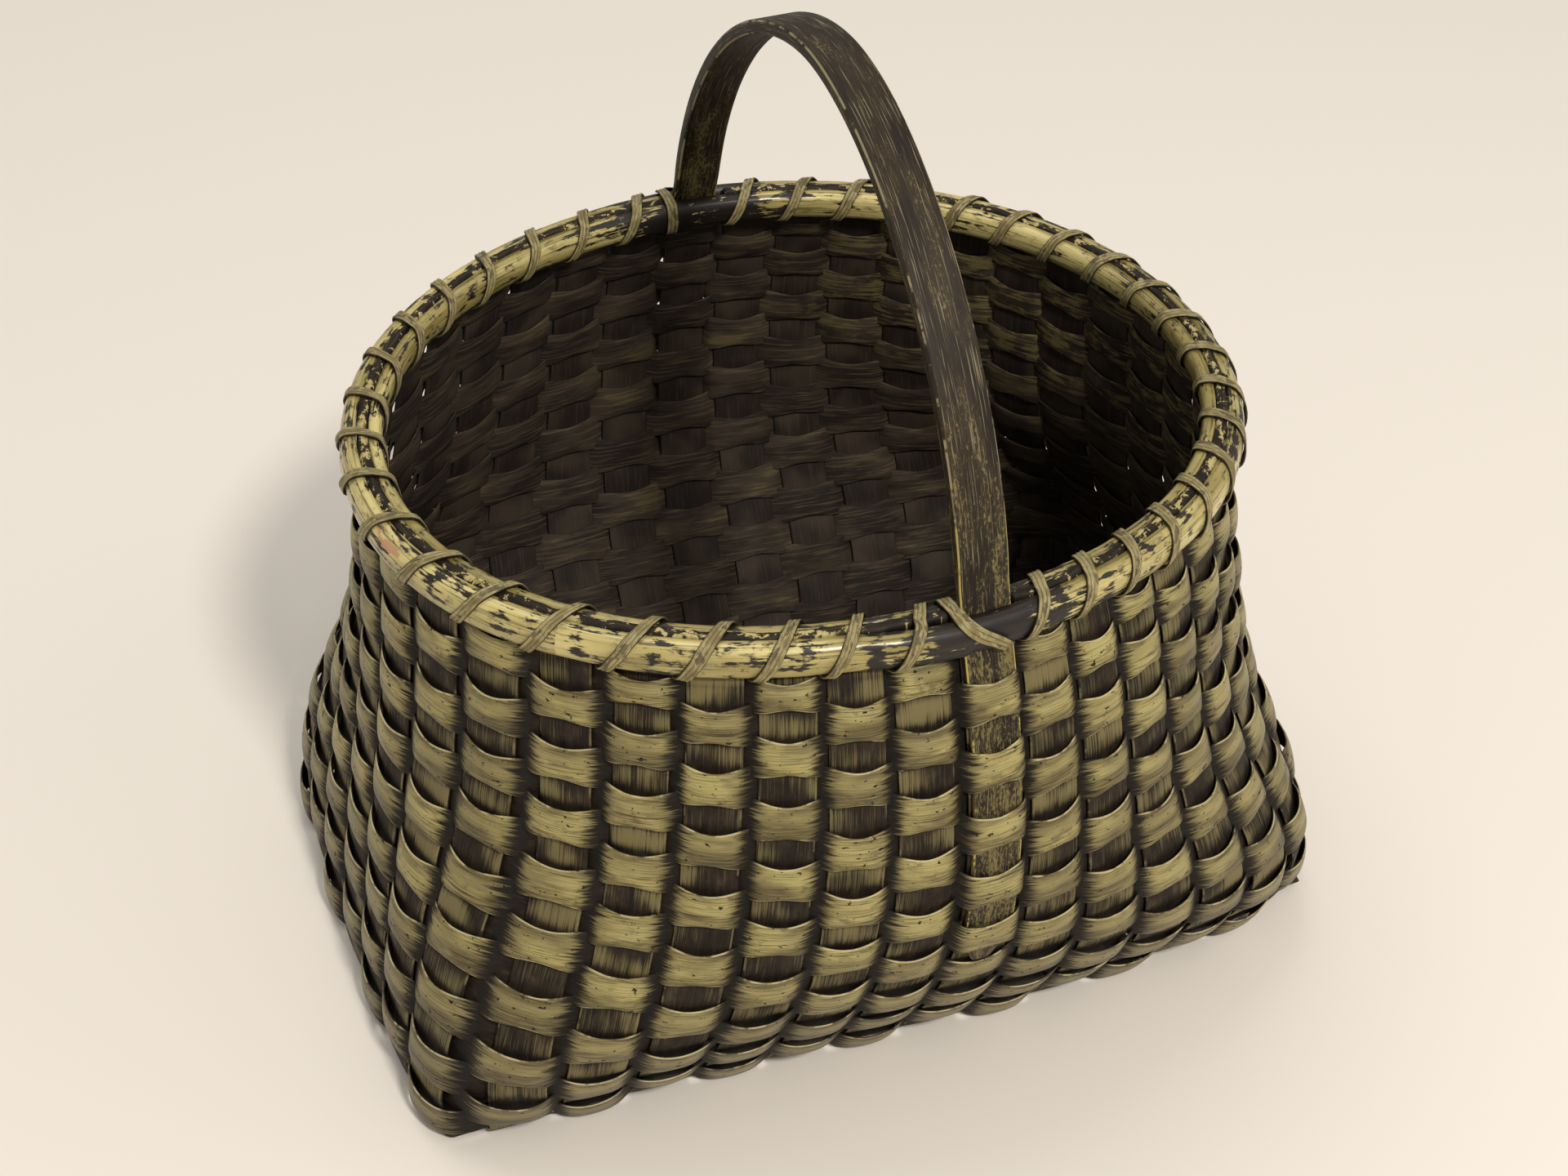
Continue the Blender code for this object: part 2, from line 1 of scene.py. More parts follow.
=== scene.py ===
"""Looks for the woven market basket: crowned splints, arched weavers, round hoops and antiqued olive paint.

Every CAD node is replaced by one finer piece of the same name. Metres, +Z up, same frame as the CAD.
"""

import math

import bpy
import numpy as np
from mathutils import Matrix, Vector


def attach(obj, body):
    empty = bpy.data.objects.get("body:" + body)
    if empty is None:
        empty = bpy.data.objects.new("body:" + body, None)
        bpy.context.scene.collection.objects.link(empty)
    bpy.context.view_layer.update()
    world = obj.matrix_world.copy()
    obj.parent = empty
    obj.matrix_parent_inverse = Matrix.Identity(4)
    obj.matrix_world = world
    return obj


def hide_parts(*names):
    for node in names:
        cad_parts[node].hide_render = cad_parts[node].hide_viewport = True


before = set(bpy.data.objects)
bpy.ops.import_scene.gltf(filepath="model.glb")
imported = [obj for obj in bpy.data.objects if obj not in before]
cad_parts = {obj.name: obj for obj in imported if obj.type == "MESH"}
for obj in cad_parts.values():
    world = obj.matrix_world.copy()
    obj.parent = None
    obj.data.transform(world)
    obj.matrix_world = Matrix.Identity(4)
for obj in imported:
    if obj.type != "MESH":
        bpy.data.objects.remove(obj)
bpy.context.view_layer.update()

# ---- overall shape of the wall's middle surface
BASE_HALF_X = 0.2200
BASE_HALF_Y = 0.1255
BASE_SHIFT_Y = -0.0130
WALL_SHIFT_Y = 0.0055
RIM_TWIST = math.radians(-2.8)
RIM_HALF_X = 0.1940
RIM_HALF_Y = 0.1655
RIM_Z = 0.2570
RIM_END_DIP = 0.0027
LOWER_REACH_X = 0.2655
LOWER_REACH_DECAY = 0.39
BELLY_X = -0.0512
BELLY_Y = 0.1667
LOWER_HALF_Y = 0.1208
LOWER_HALF_DECAY = 0.046
CORNER_EXPONENT = 15.0
RIM_EXPONENT = 2.056
CORNER_FADE = 5.09
SIDE_BOW_X = 0.030
SIDE_BOW_Y = 0.092
SIDE_BOW_SKEW = 1.5
TOP_HEIGHT = 1.03
BASE_Z = 0.00275

# ---- weave layout
CROSS_COUNT = 13
LONG_COUNT = 7
CROSS_PITCH = 0.0321
LONG_PITCH = 0.0345
CROSS_SHIFT = 0.0088
NEAR_RIM_TURNS = (
    *(-0.648, -0.533, -0.419, -0.318, -0.220, -0.128, -0.036),
    *(0.062, 0.152, 0.236, 0.322, 0.412, 0.508, 0.606),
)
FAR_RIM_TURN = 0.025
TURN_EASE = 1.6
SPLINT_WIDTH = 0.0260
SPLINT_TOP_WIDTH = 0.0226
END_SPLINT_EXTRA = 0.0034
SPLINT_TOP_GAP = 0.0036
TURN_FLARE = 0.024
SPLINT_TOP_ABOVE_RIM = 0.0035
ROW_COUNT = 17
FIRST_ROW = 0.0105
LAST_ROW_BELOW_RIM = 0.0180
ROW_CROWN_STAKES = (0, 1, 3, 5, 6, 7, 8, 9, 12, 16, 20, 26, 32, 38, 39, 40)
ROW_CROWNS = (0.45, 0.55, 0.45, 0.20, 0.18, 0.45, 0.65, 0.75, 0.70, 0.40, 0.40, 0.30, 0.30, 0.10, 0.15, 0.45)
ROW_CROWN_BOTTOM = 0.15
ROW_CROWN_TOP = 0.12
STAKE_COUNT = 2 * (CROSS_COUNT + LONG_COUNT)
NEAR_MIDDLE = CROSS_COUNT // 2
RIGHT_MIDDLE = CROSS_COUNT + LONG_COUNT // 2
FAR_MIDDLE = NEAR_MIDDLE + STAKE_COUNT // 2
LEFT_MIDDLE = RIGHT_MIDDLE + STAKE_COUNT // 2

# ---- upright splints and the bottom
SPLINT_THICK = 0.0014
SPLINT_CROWN = 0.0005
SPLINT_WAVE = 0.00045
FLOOR_CROSS_WIDTH = 0.0306
FLOOR_LONG_WIDTH = 0.0324
FLOOR_THICK = 0.0011
FLOOR_WAVE = 0.0012
FLOOR_Z = FLOOR_WAVE + FLOOR_THICK / 2
TURN_IN = 0.0075
WALL_START = 0.0040
WALL_STEP = 0.0022
WAVE_STOP_BELOW_RIM = 0.012
WAVE_FADE = 0.010
SPLINT_DRIFT = 0.0004
SPLINT_DRIFT_LENGTH = 0.05
SPLINT_UNEVEN = 0.02
SPLINT_UNEVEN_LENGTH = 0.06
SPLINT_SHADOW_LENGTH = 0.006
FLOOR_MARGIN = 0.0010
FLOOR_STEP = 0.0016
FLOOR_SHARPNESS = 4.2
FLOOR_SHOWN = 0.35
CUT_TOP_SHOWN = 0.8

# ---- weavers
WEAVER_THICK = 0.0011
WEAVER_CROWN = 0.0009
WEAVER_LAP = 0.0003
WEAVER_CROSSING_LAP = 0.0044
FLOAT_RISE = 0.0041
FLOAT_SINK = 0.0023
FLOAT_SHARPNESS = 1.15
HANDLE_FLOAT_RISE = 0.0059
HANDLE_FLOAT_SHARPNESS = 3.0
HANDLE_FIRST_BAND = 6
WEAVER_STEPS = 16
WEAVER_UNEVEN = 0.025
WEAVER_LEAN = 0.05
WEAVER_WAVER = 0.0003
EDGE_ROW_TRIM = 0.0016

# ---- handle
HANDLE_WIDTH = 0.0218
HANDLE_THICK = 0.0062
HANDLE_LEG_THICK = 0.0030
HANDLE_RISE = 0.1664
HANDLE_SPRING_BELOW_RIM = 0.0220
HANDLE_EXPONENT = 1.86
HANDLE_LAST_ROW = 5.55
HANDLE_LEG_ABOVE_RIM = 0.45
HANDLE_LEG_STEP = 0.08
HANDLE_STAND_OFF = 0.0028
HANDLE_TIP_WIDTH = 0.0050
HANDLE_TIP_TAPER = 0.026
HANDLE_THIN_TAPER = 0.030
HANDLE_ARCH_ABOVE_RIM = 0.0135
HANDLE_ARCH_STEPS = 260
HANDLE_SWELL_START = 0.008
HANDLE_SWELL_LENGTH = 0.022
HANDLE_SMOOTHINGS = 6
HANDLE_ROUND_SCALE = (0.011, 0.003)
HANDLE_HALF_SECTION = ((0.0, 1.0), (0.4, 1.0), (0.86, 1.0), (0.94, 0.92), (0.985, 0.72), (1.0, 0.45))
HANDLE_SPECKS_TOP = 0.10
HANDLE_SPECKS_LENGTH = 0.12

# ---- rim hoops, filler and lashing, as (outward, upward) offsets from the rim line
HANDLE_BULGE = 0.0020
HOOP_STEPS = 14
HOOP_SIDES = 15
HOOP_DEPTH = 0.0066
HOOP_BELOW = 0.0077
HOOP_ABOVE = 0.0070
HOOP_FLAT = 0.0040
SCARF_SWELL = 0.0017
CHIP_STAKE = 37.3
HOOP_INNER_FACE = 0.00275
FILLER_STEPS = 18
FILLER_HALF_WIDTH = 0.0023
FILLER_TUCK = 0.52
FILLER_LUMPS = 0.0009
LASHING_WIDTH = 0.0053
LASHING_THICK = 0.0011
LASHING_HALF_LOOP = ((0.0026, -0.0084), (0.0086, -0.0071), (0.0104, 0.0), (0.0080, 0.0071), (0.0026, 0.0092))
LASHING_TRAVEL = (0.0, 0.10, 0.26, 0.40, 0.50, 0.58, 0.66, 0.78, 0.92, 1.0)
LASHING_START = 0.011
LASHING_RIDGES = 3
STRAP_WIDEN = 1.25
HANDLE_LASHING_TRAVEL = (0.0, 0.06, 0.46, 0.97, 1.0, 1.0, 1.0, 1.0, 1.0, 1.0)
HANDLE_STRAP = (
    (-0.50, -0.0104, 0.0),
    (-0.50, -0.0080, 0.0071),
    (-0.50, -0.0026, 0.0092),
    (-0.46, 0.0026, 0.0092),
    (-0.38, 0.0080, 0.0071),
    (-0.24, 0.0108, 0.0036),
    (0.0, 0.0114, -0.0008),
    (0.20, 0.0108, -0.0052),
)

# ---------------------------------------------------------------- wall surface


def unit(vectors):
    return vectors / np.linalg.norm(vectors, axis=-1, keepdims=True)


def run_length(points):
    """Distance along a row of points, from its first."""
    return np.concatenate([[0.0], np.cumsum(np.linalg.norm(np.diff(points, axis=0), axis=1))])


QUARTER_STEPS = 360
THETA = np.linspace(-math.pi / 2, 1.5 * math.pi, 4 * QUARTER_STEPS + 1)


def section(height):
    """Wall points round the basket at a height share, with a coordinate that gains one per quarter turn."""
    up = min(max(float(height), 0.0), TOP_HEIGHT)
    low = 1.0 - min(up, 1.0)
    half_x = LOWER_REACH_X + (RIM_HALF_X - LOWER_REACH_X) * up + BELLY_X * up * low
    half_x -= (LOWER_REACH_X - BASE_HALF_X) * math.exp(-up / LOWER_REACH_DECAY)
    half_y = LOWER_HALF_Y + (RIM_HALF_Y - LOWER_HALF_Y) * up + BELLY_Y * up * low
    half_y -= (LOWER_HALF_Y - BASE_HALF_Y) * math.exp(-up / LOWER_HALF_DECAY)
    exponent = RIM_EXPONENT + (CORNER_EXPONENT - RIM_EXPONENT) * low**CORNER_FADE
    cosine, sine = np.cos(THETA), np.sin(THETA)
    radius = (np.abs(cosine) ** exponent + np.abs(sine) ** exponent) ** (-1 / exponent)
    across, along = radius * cosine, radius * sine
    skew = 1 - SIDE_BOW_SKEW * across * np.sign(along)
    flat_x = half_x * across * (1 + SIDE_BOW_X * low**2 * (1 - along**2))
    flat_y = half_y * along * (1 + SIDE_BOW_Y * low**2 * (1 - across**2) * skew * np.abs(along))
    twist = RIM_TWIST * up
    x = flat_x * math.cos(twist) - flat_y * math.sin(twist)
    y = flat_x * math.sin(twist) + flat_y * math.cos(twist) + BASE_SHIFT_Y * low + WALL_SHIFT_Y
    z = BASE_Z + up * (RIM_Z - BASE_Z) - RIM_END_DIP * up**2 * np.cos(2 * THETA)
    length = np.concatenate([[0.0], np.cumsum(np.hypot(np.diff(x), np.diff(y)))])
    quarter = np.interp(length, length[::QUARTER_STEPS], np.arange(5.0))
    return quarter, x, y, z


def base_turn(stake):
    """Where a stake leaves the bottom, in quarter turns counted from the middle of the near side."""
    quarter, x, y, _ = section(0.0)
    if stake < CROSS_COUNT:
        side, places, target = 0, x, (stake - NEAR_MIDDLE) * CROSS_PITCH + CROSS_SHIFT
    elif stake < CROSS_COUNT + LONG_COUNT:
        side, places, target = 1, y, (stake - RIGHT_MIDDLE) * LONG_PITCH + BASE_SHIFT_Y + WALL_SHIFT_Y
    elif stake < 2 * CROSS_COUNT + LONG_COUNT:
        side, places, target = 2, x, (FAR_MIDDLE - stake) * CROSS_PITCH + CROSS_SHIFT
    else:
        side, places, target = 3, y, (LEFT_MIDDLE - stake) * LONG_PITCH + BASE_SHIFT_Y + WALL_SHIFT_Y
    middle = side * QUARTER_STEPS
    window = np.arange(middle - QUARTER_STEPS // 2, middle + QUARTER_STEPS // 2 + 1)
    places = places[window % (4 * QUARTER_STEPS)]
    turns = quarter[window % (4 * QUARTER_STEPS)] - 4.0 * (window < 0)
    order = np.argsort(places)
    return float(np.interp(target, places[order], turns[order]))


class Wall:
    """The wall as a smooth surface over (stake position, row position)."""

    PER_STAKE = 24
    ROW_STEP = 0.1
    FIRST = -0.9
    LAST = 18.4
    HEIGHTS = 91

    def __init__(self):
        stakes = np.arange(STAKE_COUNT * self.PER_STAKE + 1) / self.PER_STAKE
        whole = np.arange(STAKE_COUNT + 1.0)
        bases = [base_turn(stake) for stake in range(STAKE_COUNT)]
        base = np.interp(stakes, whole, bases + [bases[0] + 4.0])
        near = list(range(-1, CROSS_COUNT))
        keys = near + [RIGHT_MIDDLE, FAR_MIDDLE, LEFT_MIDDLE, STAKE_COUNT - 1, STAKE_COUNT]
        turns = [*NEAR_RIM_TURNS, 1.0, 2.0 - FAR_RIM_TURN, 3.0]
        turns += [4.0 + turn for turn in NEAR_RIM_TURNS[:2]]
        rim = np.interp(stakes, keys, turns)
        crown = np.interp(stakes, ROW_CROWN_STAKES, ROW_CROWNS)
        heights = np.linspace(0.0, TOP_HEIGHT, self.HEIGHTS)
        points = np.zeros((len(heights), len(stakes), 3))
        for index, height in enumerate(heights):
            quarter, *places = section(height)
            turn = (base + (rim - base) * min(height, 1.0) ** TURN_EASE) % 4.0
            for axis, place in enumerate(places):
                points[index, :, axis] = np.interp(turn, quarter, place)
        steps = np.linalg.norm(np.diff(points, axis=0), axis=2)
        lengths = np.concatenate([np.zeros((1, len(stakes))), np.cumsum(steps, axis=0)])
        self.rows = np.arange(self.FIRST, self.LAST, self.ROW_STEP)
        share = self.rows / (ROW_COUNT - 1)
        rise = (1 - np.exp(-share / ROW_CROWN_BOTTOM)) * (1 - np.exp((share - 1) / ROW_CROWN_TOP))
        rise = np.where(share > 1, (1 - share) / ROW_CROWN_TOP, rise)
        self.points = np.zeros((len(stakes), len(self.rows), 3))
        self.length = np.zeros((len(stakes), len(self.rows)))
        self.rim_row = np.zeros(len(stakes))
        self.rim_length = np.zeros(len(stakes))
        for index in range(len(stakes)):
            along = lengths[:, index]
            rim_length = np.interp(1.0, heights, along)
            last = rim_length - LAST_ROW_BELOW_RIM
            want = FIRST_ROW + (last - FIRST_ROW) * (share + crown[index] * rise / (ROW_COUNT - 1))
            self.length[index] = want
            self.rim_length[index] = rim_length
            self.rim_row[index] = np.interp(rim_length, want, self.rows)
            top = points[-1, index] - points[-2, index]
            top /= np.linalg.norm(top)
            bottom = points[1, index] - points[0, index]
            bottom /= np.linalg.norm(bottom)
            for axis in range(3):
                column = np.interp(want, along, points[:, index, axis])
                column += np.maximum(want - along[-1], 0.0) * top[axis]
                column += np.minimum(want, 0.0) * bottom[axis]
                self.points[index, :, axis] = column
        up = np.gradient(self.points, axis=1)
        ring = np.concatenate([self.points[-3:-1], self.points[:-1], self.points[:2]])
        around = (ring[4:] - ring[:-4])[: len(stakes) - 1]
        around = np.concatenate([around, around[:1]])
        across = unit(around)
        up = unit(up)
        across = unit(across - up * np.sum(across * up, axis=2, keepdims=True))
        self.fields = np.concatenate([self.points, across, up, np.cross(across, up)], axis=2)

    def at(self, stake, row):
        """Point, sideways, upward and outward directions for arrays of stake and row positions."""
        stake, row = np.broadcast_arrays(np.asarray(stake, float), np.asarray(row, float))
        s = (stake % STAKE_COUNT) * self.PER_STAKE
        r = np.clip((row - self.FIRST) / self.ROW_STEP, 0, len(self.rows) - 1.001)
        i, j = s.astype(int), r.astype(int)
        fs, fr = (s - i)[..., None], (r - j)[..., None]
        i2 = np.minimum(i + 1, self.fields.shape[0] - 1)
        low = self.fields[i, j] * (1 - fs) + self.fields[i2, j] * fs
        high = self.fields[i, j + 1] * (1 - fs) + self.fields[i2, j + 1] * fs
        both = low * (1 - fr) + high * fr
        point, across, up, out = both[..., :3], both[..., 3:6], both[..., 6:9], both[..., 9:]
        out = unit(out)
        return point, across, up, out

    def length_at(self, stake, row):
        index = (np.round(np.asarray(stake) * self.PER_STAKE).astype(int)) % (STAKE_COUNT * self.PER_STAKE)
        return float(np.interp(row, self.rows, self.length[index]))

    def row_at_length(self, stake, length):
        index = int(round(stake * self.PER_STAKE)) % (STAKE_COUNT * self.PER_STAKE)
        return np.interp(length, self.length[index], self.rows)

    def rim(self, stake):
        """Rim point, level outward direction and rise (wall direction per unit of height)."""
        stake = np.asarray(stake, float)
        places = np.arange(len(self.rim_row)) / self.PER_STAKE
        row = np.interp(stake % STAKE_COUNT, places, self.rim_row)
        point, across, up, out = self.at(stake, row)
        out = unit(out * np.array([1.0, 1.0, 0.0]))
        return point, out, up / up[..., 2:3]


wall = Wall()

# ---------------------------------------------------------------- mesh helpers


def grid_piece(name, points, flow, mark, material, close_i=False):
    """A closed tube from a grid of sections (i along, j round) with per-corner paint coordinates.

    flow is (metres along, metres across, seed) and mark three numbers that the material reads.
    """
    count_i, count_j = points.shape[:2]
    runs = count_i if close_i else count_i - 1
    i, j = np.meshgrid(np.arange(runs), np.arange(count_j), indexing="ij")
    i2, j2 = (i + 1) % count_i, (j + 1) % count_j
    quads = np.stack([i * count_j + j, i * count_j + j2, i2 * count_j + j2, i2 * count_j + j], axis=-1)
    faces = [tuple(quad) for quad in quads.reshape(-1, 4).tolist()]
    corners = [(i, j), (i, j + 1), (i + 1, j + 1), (i + 1, j)]
    flows = np.stack([flow[a, b] for a, b in corners], axis=2).reshape(-1, 3)
    marks = np.stack([mark[a, b] for a, b in corners], axis=2).reshape(-1, 3)
    if not close_i:
        first = list(range(count_j))
        last = [(count_i - 1) * count_j + k for k in range(count_j)]
        faces += [tuple(reversed(first)), tuple(last)]
        flows = np.concatenate([flows, flow[0, first[::-1]], flow[-1, first]])
        marks = np.concatenate([marks, mark[0, first[::-1]], mark[-1, first]])
    data = bpy.data.meshes.new(name)
    data.from_pydata(points.reshape(-1, 3).tolist(), [], faces)
    if volume(points, quads) < 0:
        data.flip_normals()
        sizes = [len(face) for face in faces]
        flows, marks = flip_corners(flows, sizes), flip_corners(marks, sizes)
    for label, values in (("flow", flows), ("mark", marks)):
        layer = data.attributes.new(label, "FLOAT_VECTOR", "CORNER")
        layer.data.foreach_set("vector", values.astype(np.float32).ravel())
    data.polygons.foreach_set("use_smooth", [True] * len(data.polygons))
    data.materials.append(material)
    made = bpy.data.objects.new("look_" + name, data)
    bpy.context.scene.collection.objects.link(made)
    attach(made, "root")
    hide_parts(name)
    return made


def volume(points, quads):
    """Signed volume of the tube's sides, to tell whether its faces look outward."""
    flat = points.reshape(-1, 3) - points.reshape(-1, 3).mean(axis=0)
    a, b, c, d = [flat[quads[..., k].ravel()] for k in range(4)]
    return float(np.sum(np.cross(a, b) * c) + np.sum(np.cross(a, c) * d))


def flip_corners(values, sizes):
    """Corner values in the order that flip_normals leaves: each face keeps its first corner."""
    result = values.copy()
    start = 0
    for size in sizes:
        result[start + 1 : start + size] = values[start + 1 : start + size][::-1]
        start += size
    return result


NOISE_TABLE = 256
NOISE_SEED_STRIDE = 101


def noise_line(positions, scale, seed, octaves=3):
    """Smooth deterministic noise between -1 and 1 along one coordinate."""
    total = np.zeros_like(np.asarray(positions, float))
    size = 1.0
    reach = 0.0
    for octave in range(octaves):
        generator = np.random.default_rng(seed * NOISE_SEED_STRIDE + octave)
        values = generator.uniform(-1, 1, NOISE_TABLE)
        spot = np.asarray(positions, float) / scale * 2**octave
        low = np.floor(spot).astype(int)
        part = spot - low
        part = part * part * (3 - 2 * part)
        total += size * (values[low % NOISE_TABLE] * (1 - part) + values[(low + 1) % NOISE_TABLE] * part)
        reach += size
        size *= 0.5
    return total / reach


STRIP_SHAPE = np.array(
    [
        *((-1.0, -0.2), (-0.985, 0.35), (-0.93, 0.85), (-0.7, 1.0), (-0.35, 1.0), (0.0, 1.0)),
        *((0.35, 1.0), (0.7, 1.0), (0.93, 0.85), (0.985, 0.35), (1.0, -0.2)),
        *((0.985, -0.7), (0.93, -1.0), (0.5, -1.0), (0.0, -1.0), (-0.5, -1.0), (-0.93, -1.0), (-0.985, -0.7)),
    ]
)
STRIP_SIDE = np.where(STRIP_SHAPE[:, 1] > 0, np.minimum(1, STRIP_SHAPE[:, 1] * 1.2), STRIP_SHAPE[:, 1])


def wrap(values):
    return np.concatenate([values, values[:1]])


def tube_points(centre, across, out, sideways, lift):
    """Section points from a centre line, its across and out directions, and (i, j) offsets along both."""
    points = centre[:, None, :] + across[:, None, :] * sideways[..., None]
    return points + out[:, None, :] * lift[..., None]


def paint_grids(along, around, seed):
    """The flow grid of a tube, from metres along and metres round, and an empty mark grid."""
    flow = np.zeros((len(along), len(around), 3))
    flow[..., 0] = along[:, None]
    flow[..., 1] = around[None, :]
    flow[..., 2] = seed
    return flow, np.zeros_like(flow)


def strip(name, centre, across, out, width, thick, crown, along, mark_a, seed, material, close_i=False):
    """A flat splint with eased edges: section arrays along i, STRIP_SHAPE round j.

    Its marks are mark_a along it, the place across it from -1 to 1, and 1 outside to -1 inside.
    """
    v, n = STRIP_SHAPE[:, 0], STRIP_SHAPE[:, 1]
    half = (width / 2)[:, None, None]
    lift = n[None, :, None] * (thick / 2)[:, None, None] + crown[:, None, None] * (1 - v**2)[None, :, None]
    points = centre[:, None, :] + across[:, None, :] * half * v[None, :, None] + out[:, None, :] * lift
    count = len(centre) + (1 if close_i else 0)
    flow, mark = paint_grids(along[:count], wrap(v), seed)
    flow[..., 1] = wrap(width)[:count, None] / 2 * wrap(v)[None, :]
    mark[..., 0] = wrap(mark_a)[:count, None]
    mark[..., 1] = wrap(v)[None, :]
    mark[..., 2] = wrap(STRIP_SIDE)[None, :]
    return grid_piece(name, points, flow, mark, material, close_i)


# ---------------------------------------------------------------- materials


def rgb(code):
    """Linear colour from an sRGB hex code."""
    parts = [int(code[k : k + 2], 16) / 255 for k in (0, 2, 4)]
    linear = [part / 12.92 if part <= 0.04045 else ((part + 0.055) / 1.055) ** 2.4 for part in parts]
    return (*linear, 1.0)


class Paint:
    """Small helper that builds one procedural material."""

    def __init__(self, name):
        self.material = bpy.data.materials.new(name)
        self.material.use_nodes = True
        self.tree = self.material.node_tree
        self.shader = self.tree.nodes["Principled BSDF"]
        self.flow = self.make("ShaderNodeAttribute", {}, attribute_name="flow").outputs["Vector"]
        mark = self.make("ShaderNodeAttribute", {}, attribute_name="mark").outputs["Vector"]
        parts = self.make("ShaderNodeSeparateXYZ", {0: mark})
        self.a, self.b, self.c = parts.outputs[0], parts.outputs[1], parts.outputs[2]
        place = self.make("ShaderNodeTexCoord", {}).outputs["Object"]
        spot = self.make("ShaderNodeSeparateXYZ", {0: place})
        self.x, self.z = spot.outputs[0], spot.outputs[2]

    def make(self, kind, values, **settings):
        node = self.tree.nodes.new(kind)
        for key, value in settings.items():
            setattr(node, key, value)
        for key, value in values.items():
            if isinstance(value, bpy.types.NodeSocket):
                self.tree.links.new(value, node.inputs[key])
            else:
                node.inputs[key].default_value = value
        return node

    def noise(self, scale, detail=3.0, roughness=0.55, distortion=0.0, shift=0.0):
        spot = self.make("ShaderNodeVectorMath", {0: self.flow, 1: scale}, operation="MULTIPLY")
        values = {0: spot.outputs[0], 1: (shift, shift, shift)}
        moved = self.make("ShaderNodeVectorMath", values, operation="ADD")
        values = {"Vector": moved.outputs[0], "Scale": 1.0, "Detail": detail, "Roughness": roughness}
        values["Distortion"] = distortion
        return self.make("ShaderNodeTexNoise", values, noise_dimensions="3D").outputs[0]

    def math(self, operation, a, b=0.0):
        return self.make("ShaderNodeMath", {0: a, 1: b}, operation=operation).outputs[0]

    def plus(self, a, b):
        return self.math("ADD", a, b)

    def minus(self, a, b):
        return self.math("SUBTRACT", a, b)

    def times(self, a, b):
        return self.math("MULTIPLY", a, b)

    def size(self, a):
        return self.math("ABSOLUTE", a)

    def ramp(self, value, low, high, start=0.0, end=1.0):
        values = {"Value": value, "From Min": low, "From Max": high, "To Min": start, "To Max": end}
        return self.make("ShaderNodeMapRange", values, interpolation_type="SMOOTHSTEP").outputs[0]

    def mix(self, factor, a, b):
        """Colour a turning to b as the factor rises. Each is a socket or an sRGB hex code."""
        a, b = (rgb(value) if isinstance(value, str) else value for value in (a, b))
        return self.make("ShaderNodeMix", {0: factor, 6: a, 7: b}, data_type="RGBA").outputs[2]

    def finish(self, colour, roughness, height, bump=0.5, distance=0.0003, coat=0.0):
        self.tree.links.new(colour, self.shader.inputs["Base Color"])
        self.tree.links.new(roughness, self.shader.inputs["Roughness"])
        node = self.make("ShaderNodeBump", {"Height": height, "Strength": bump, "Distance": distance})
        self.tree.links.new(node.outputs[0], self.shader.inputs["Normal"])
        self.shader.inputs["Coat Weight"].default_value = coat
        self.shader.inputs["Specular IOR Level"].default_value = 0.25 + coat
        self.shader.inputs["Coat Roughness"].default_value = 0.28
        return self.material


def dark_wood(paint, fibre, patch):
    """The dark brown stain under the paint."""
    tone = paint.mix(paint.ramp(patch, 0.35, 0.65), "150f0a", "2b2116")
    tone = paint.mix(paint.ramp(fibre, 0.52, 0.68, 0.0, 0.6), tone, "483b27")
    return paint.mix(paint.ramp(patch, 0.58, 0.70, 0.0, 0.4), tone, "4b4132")


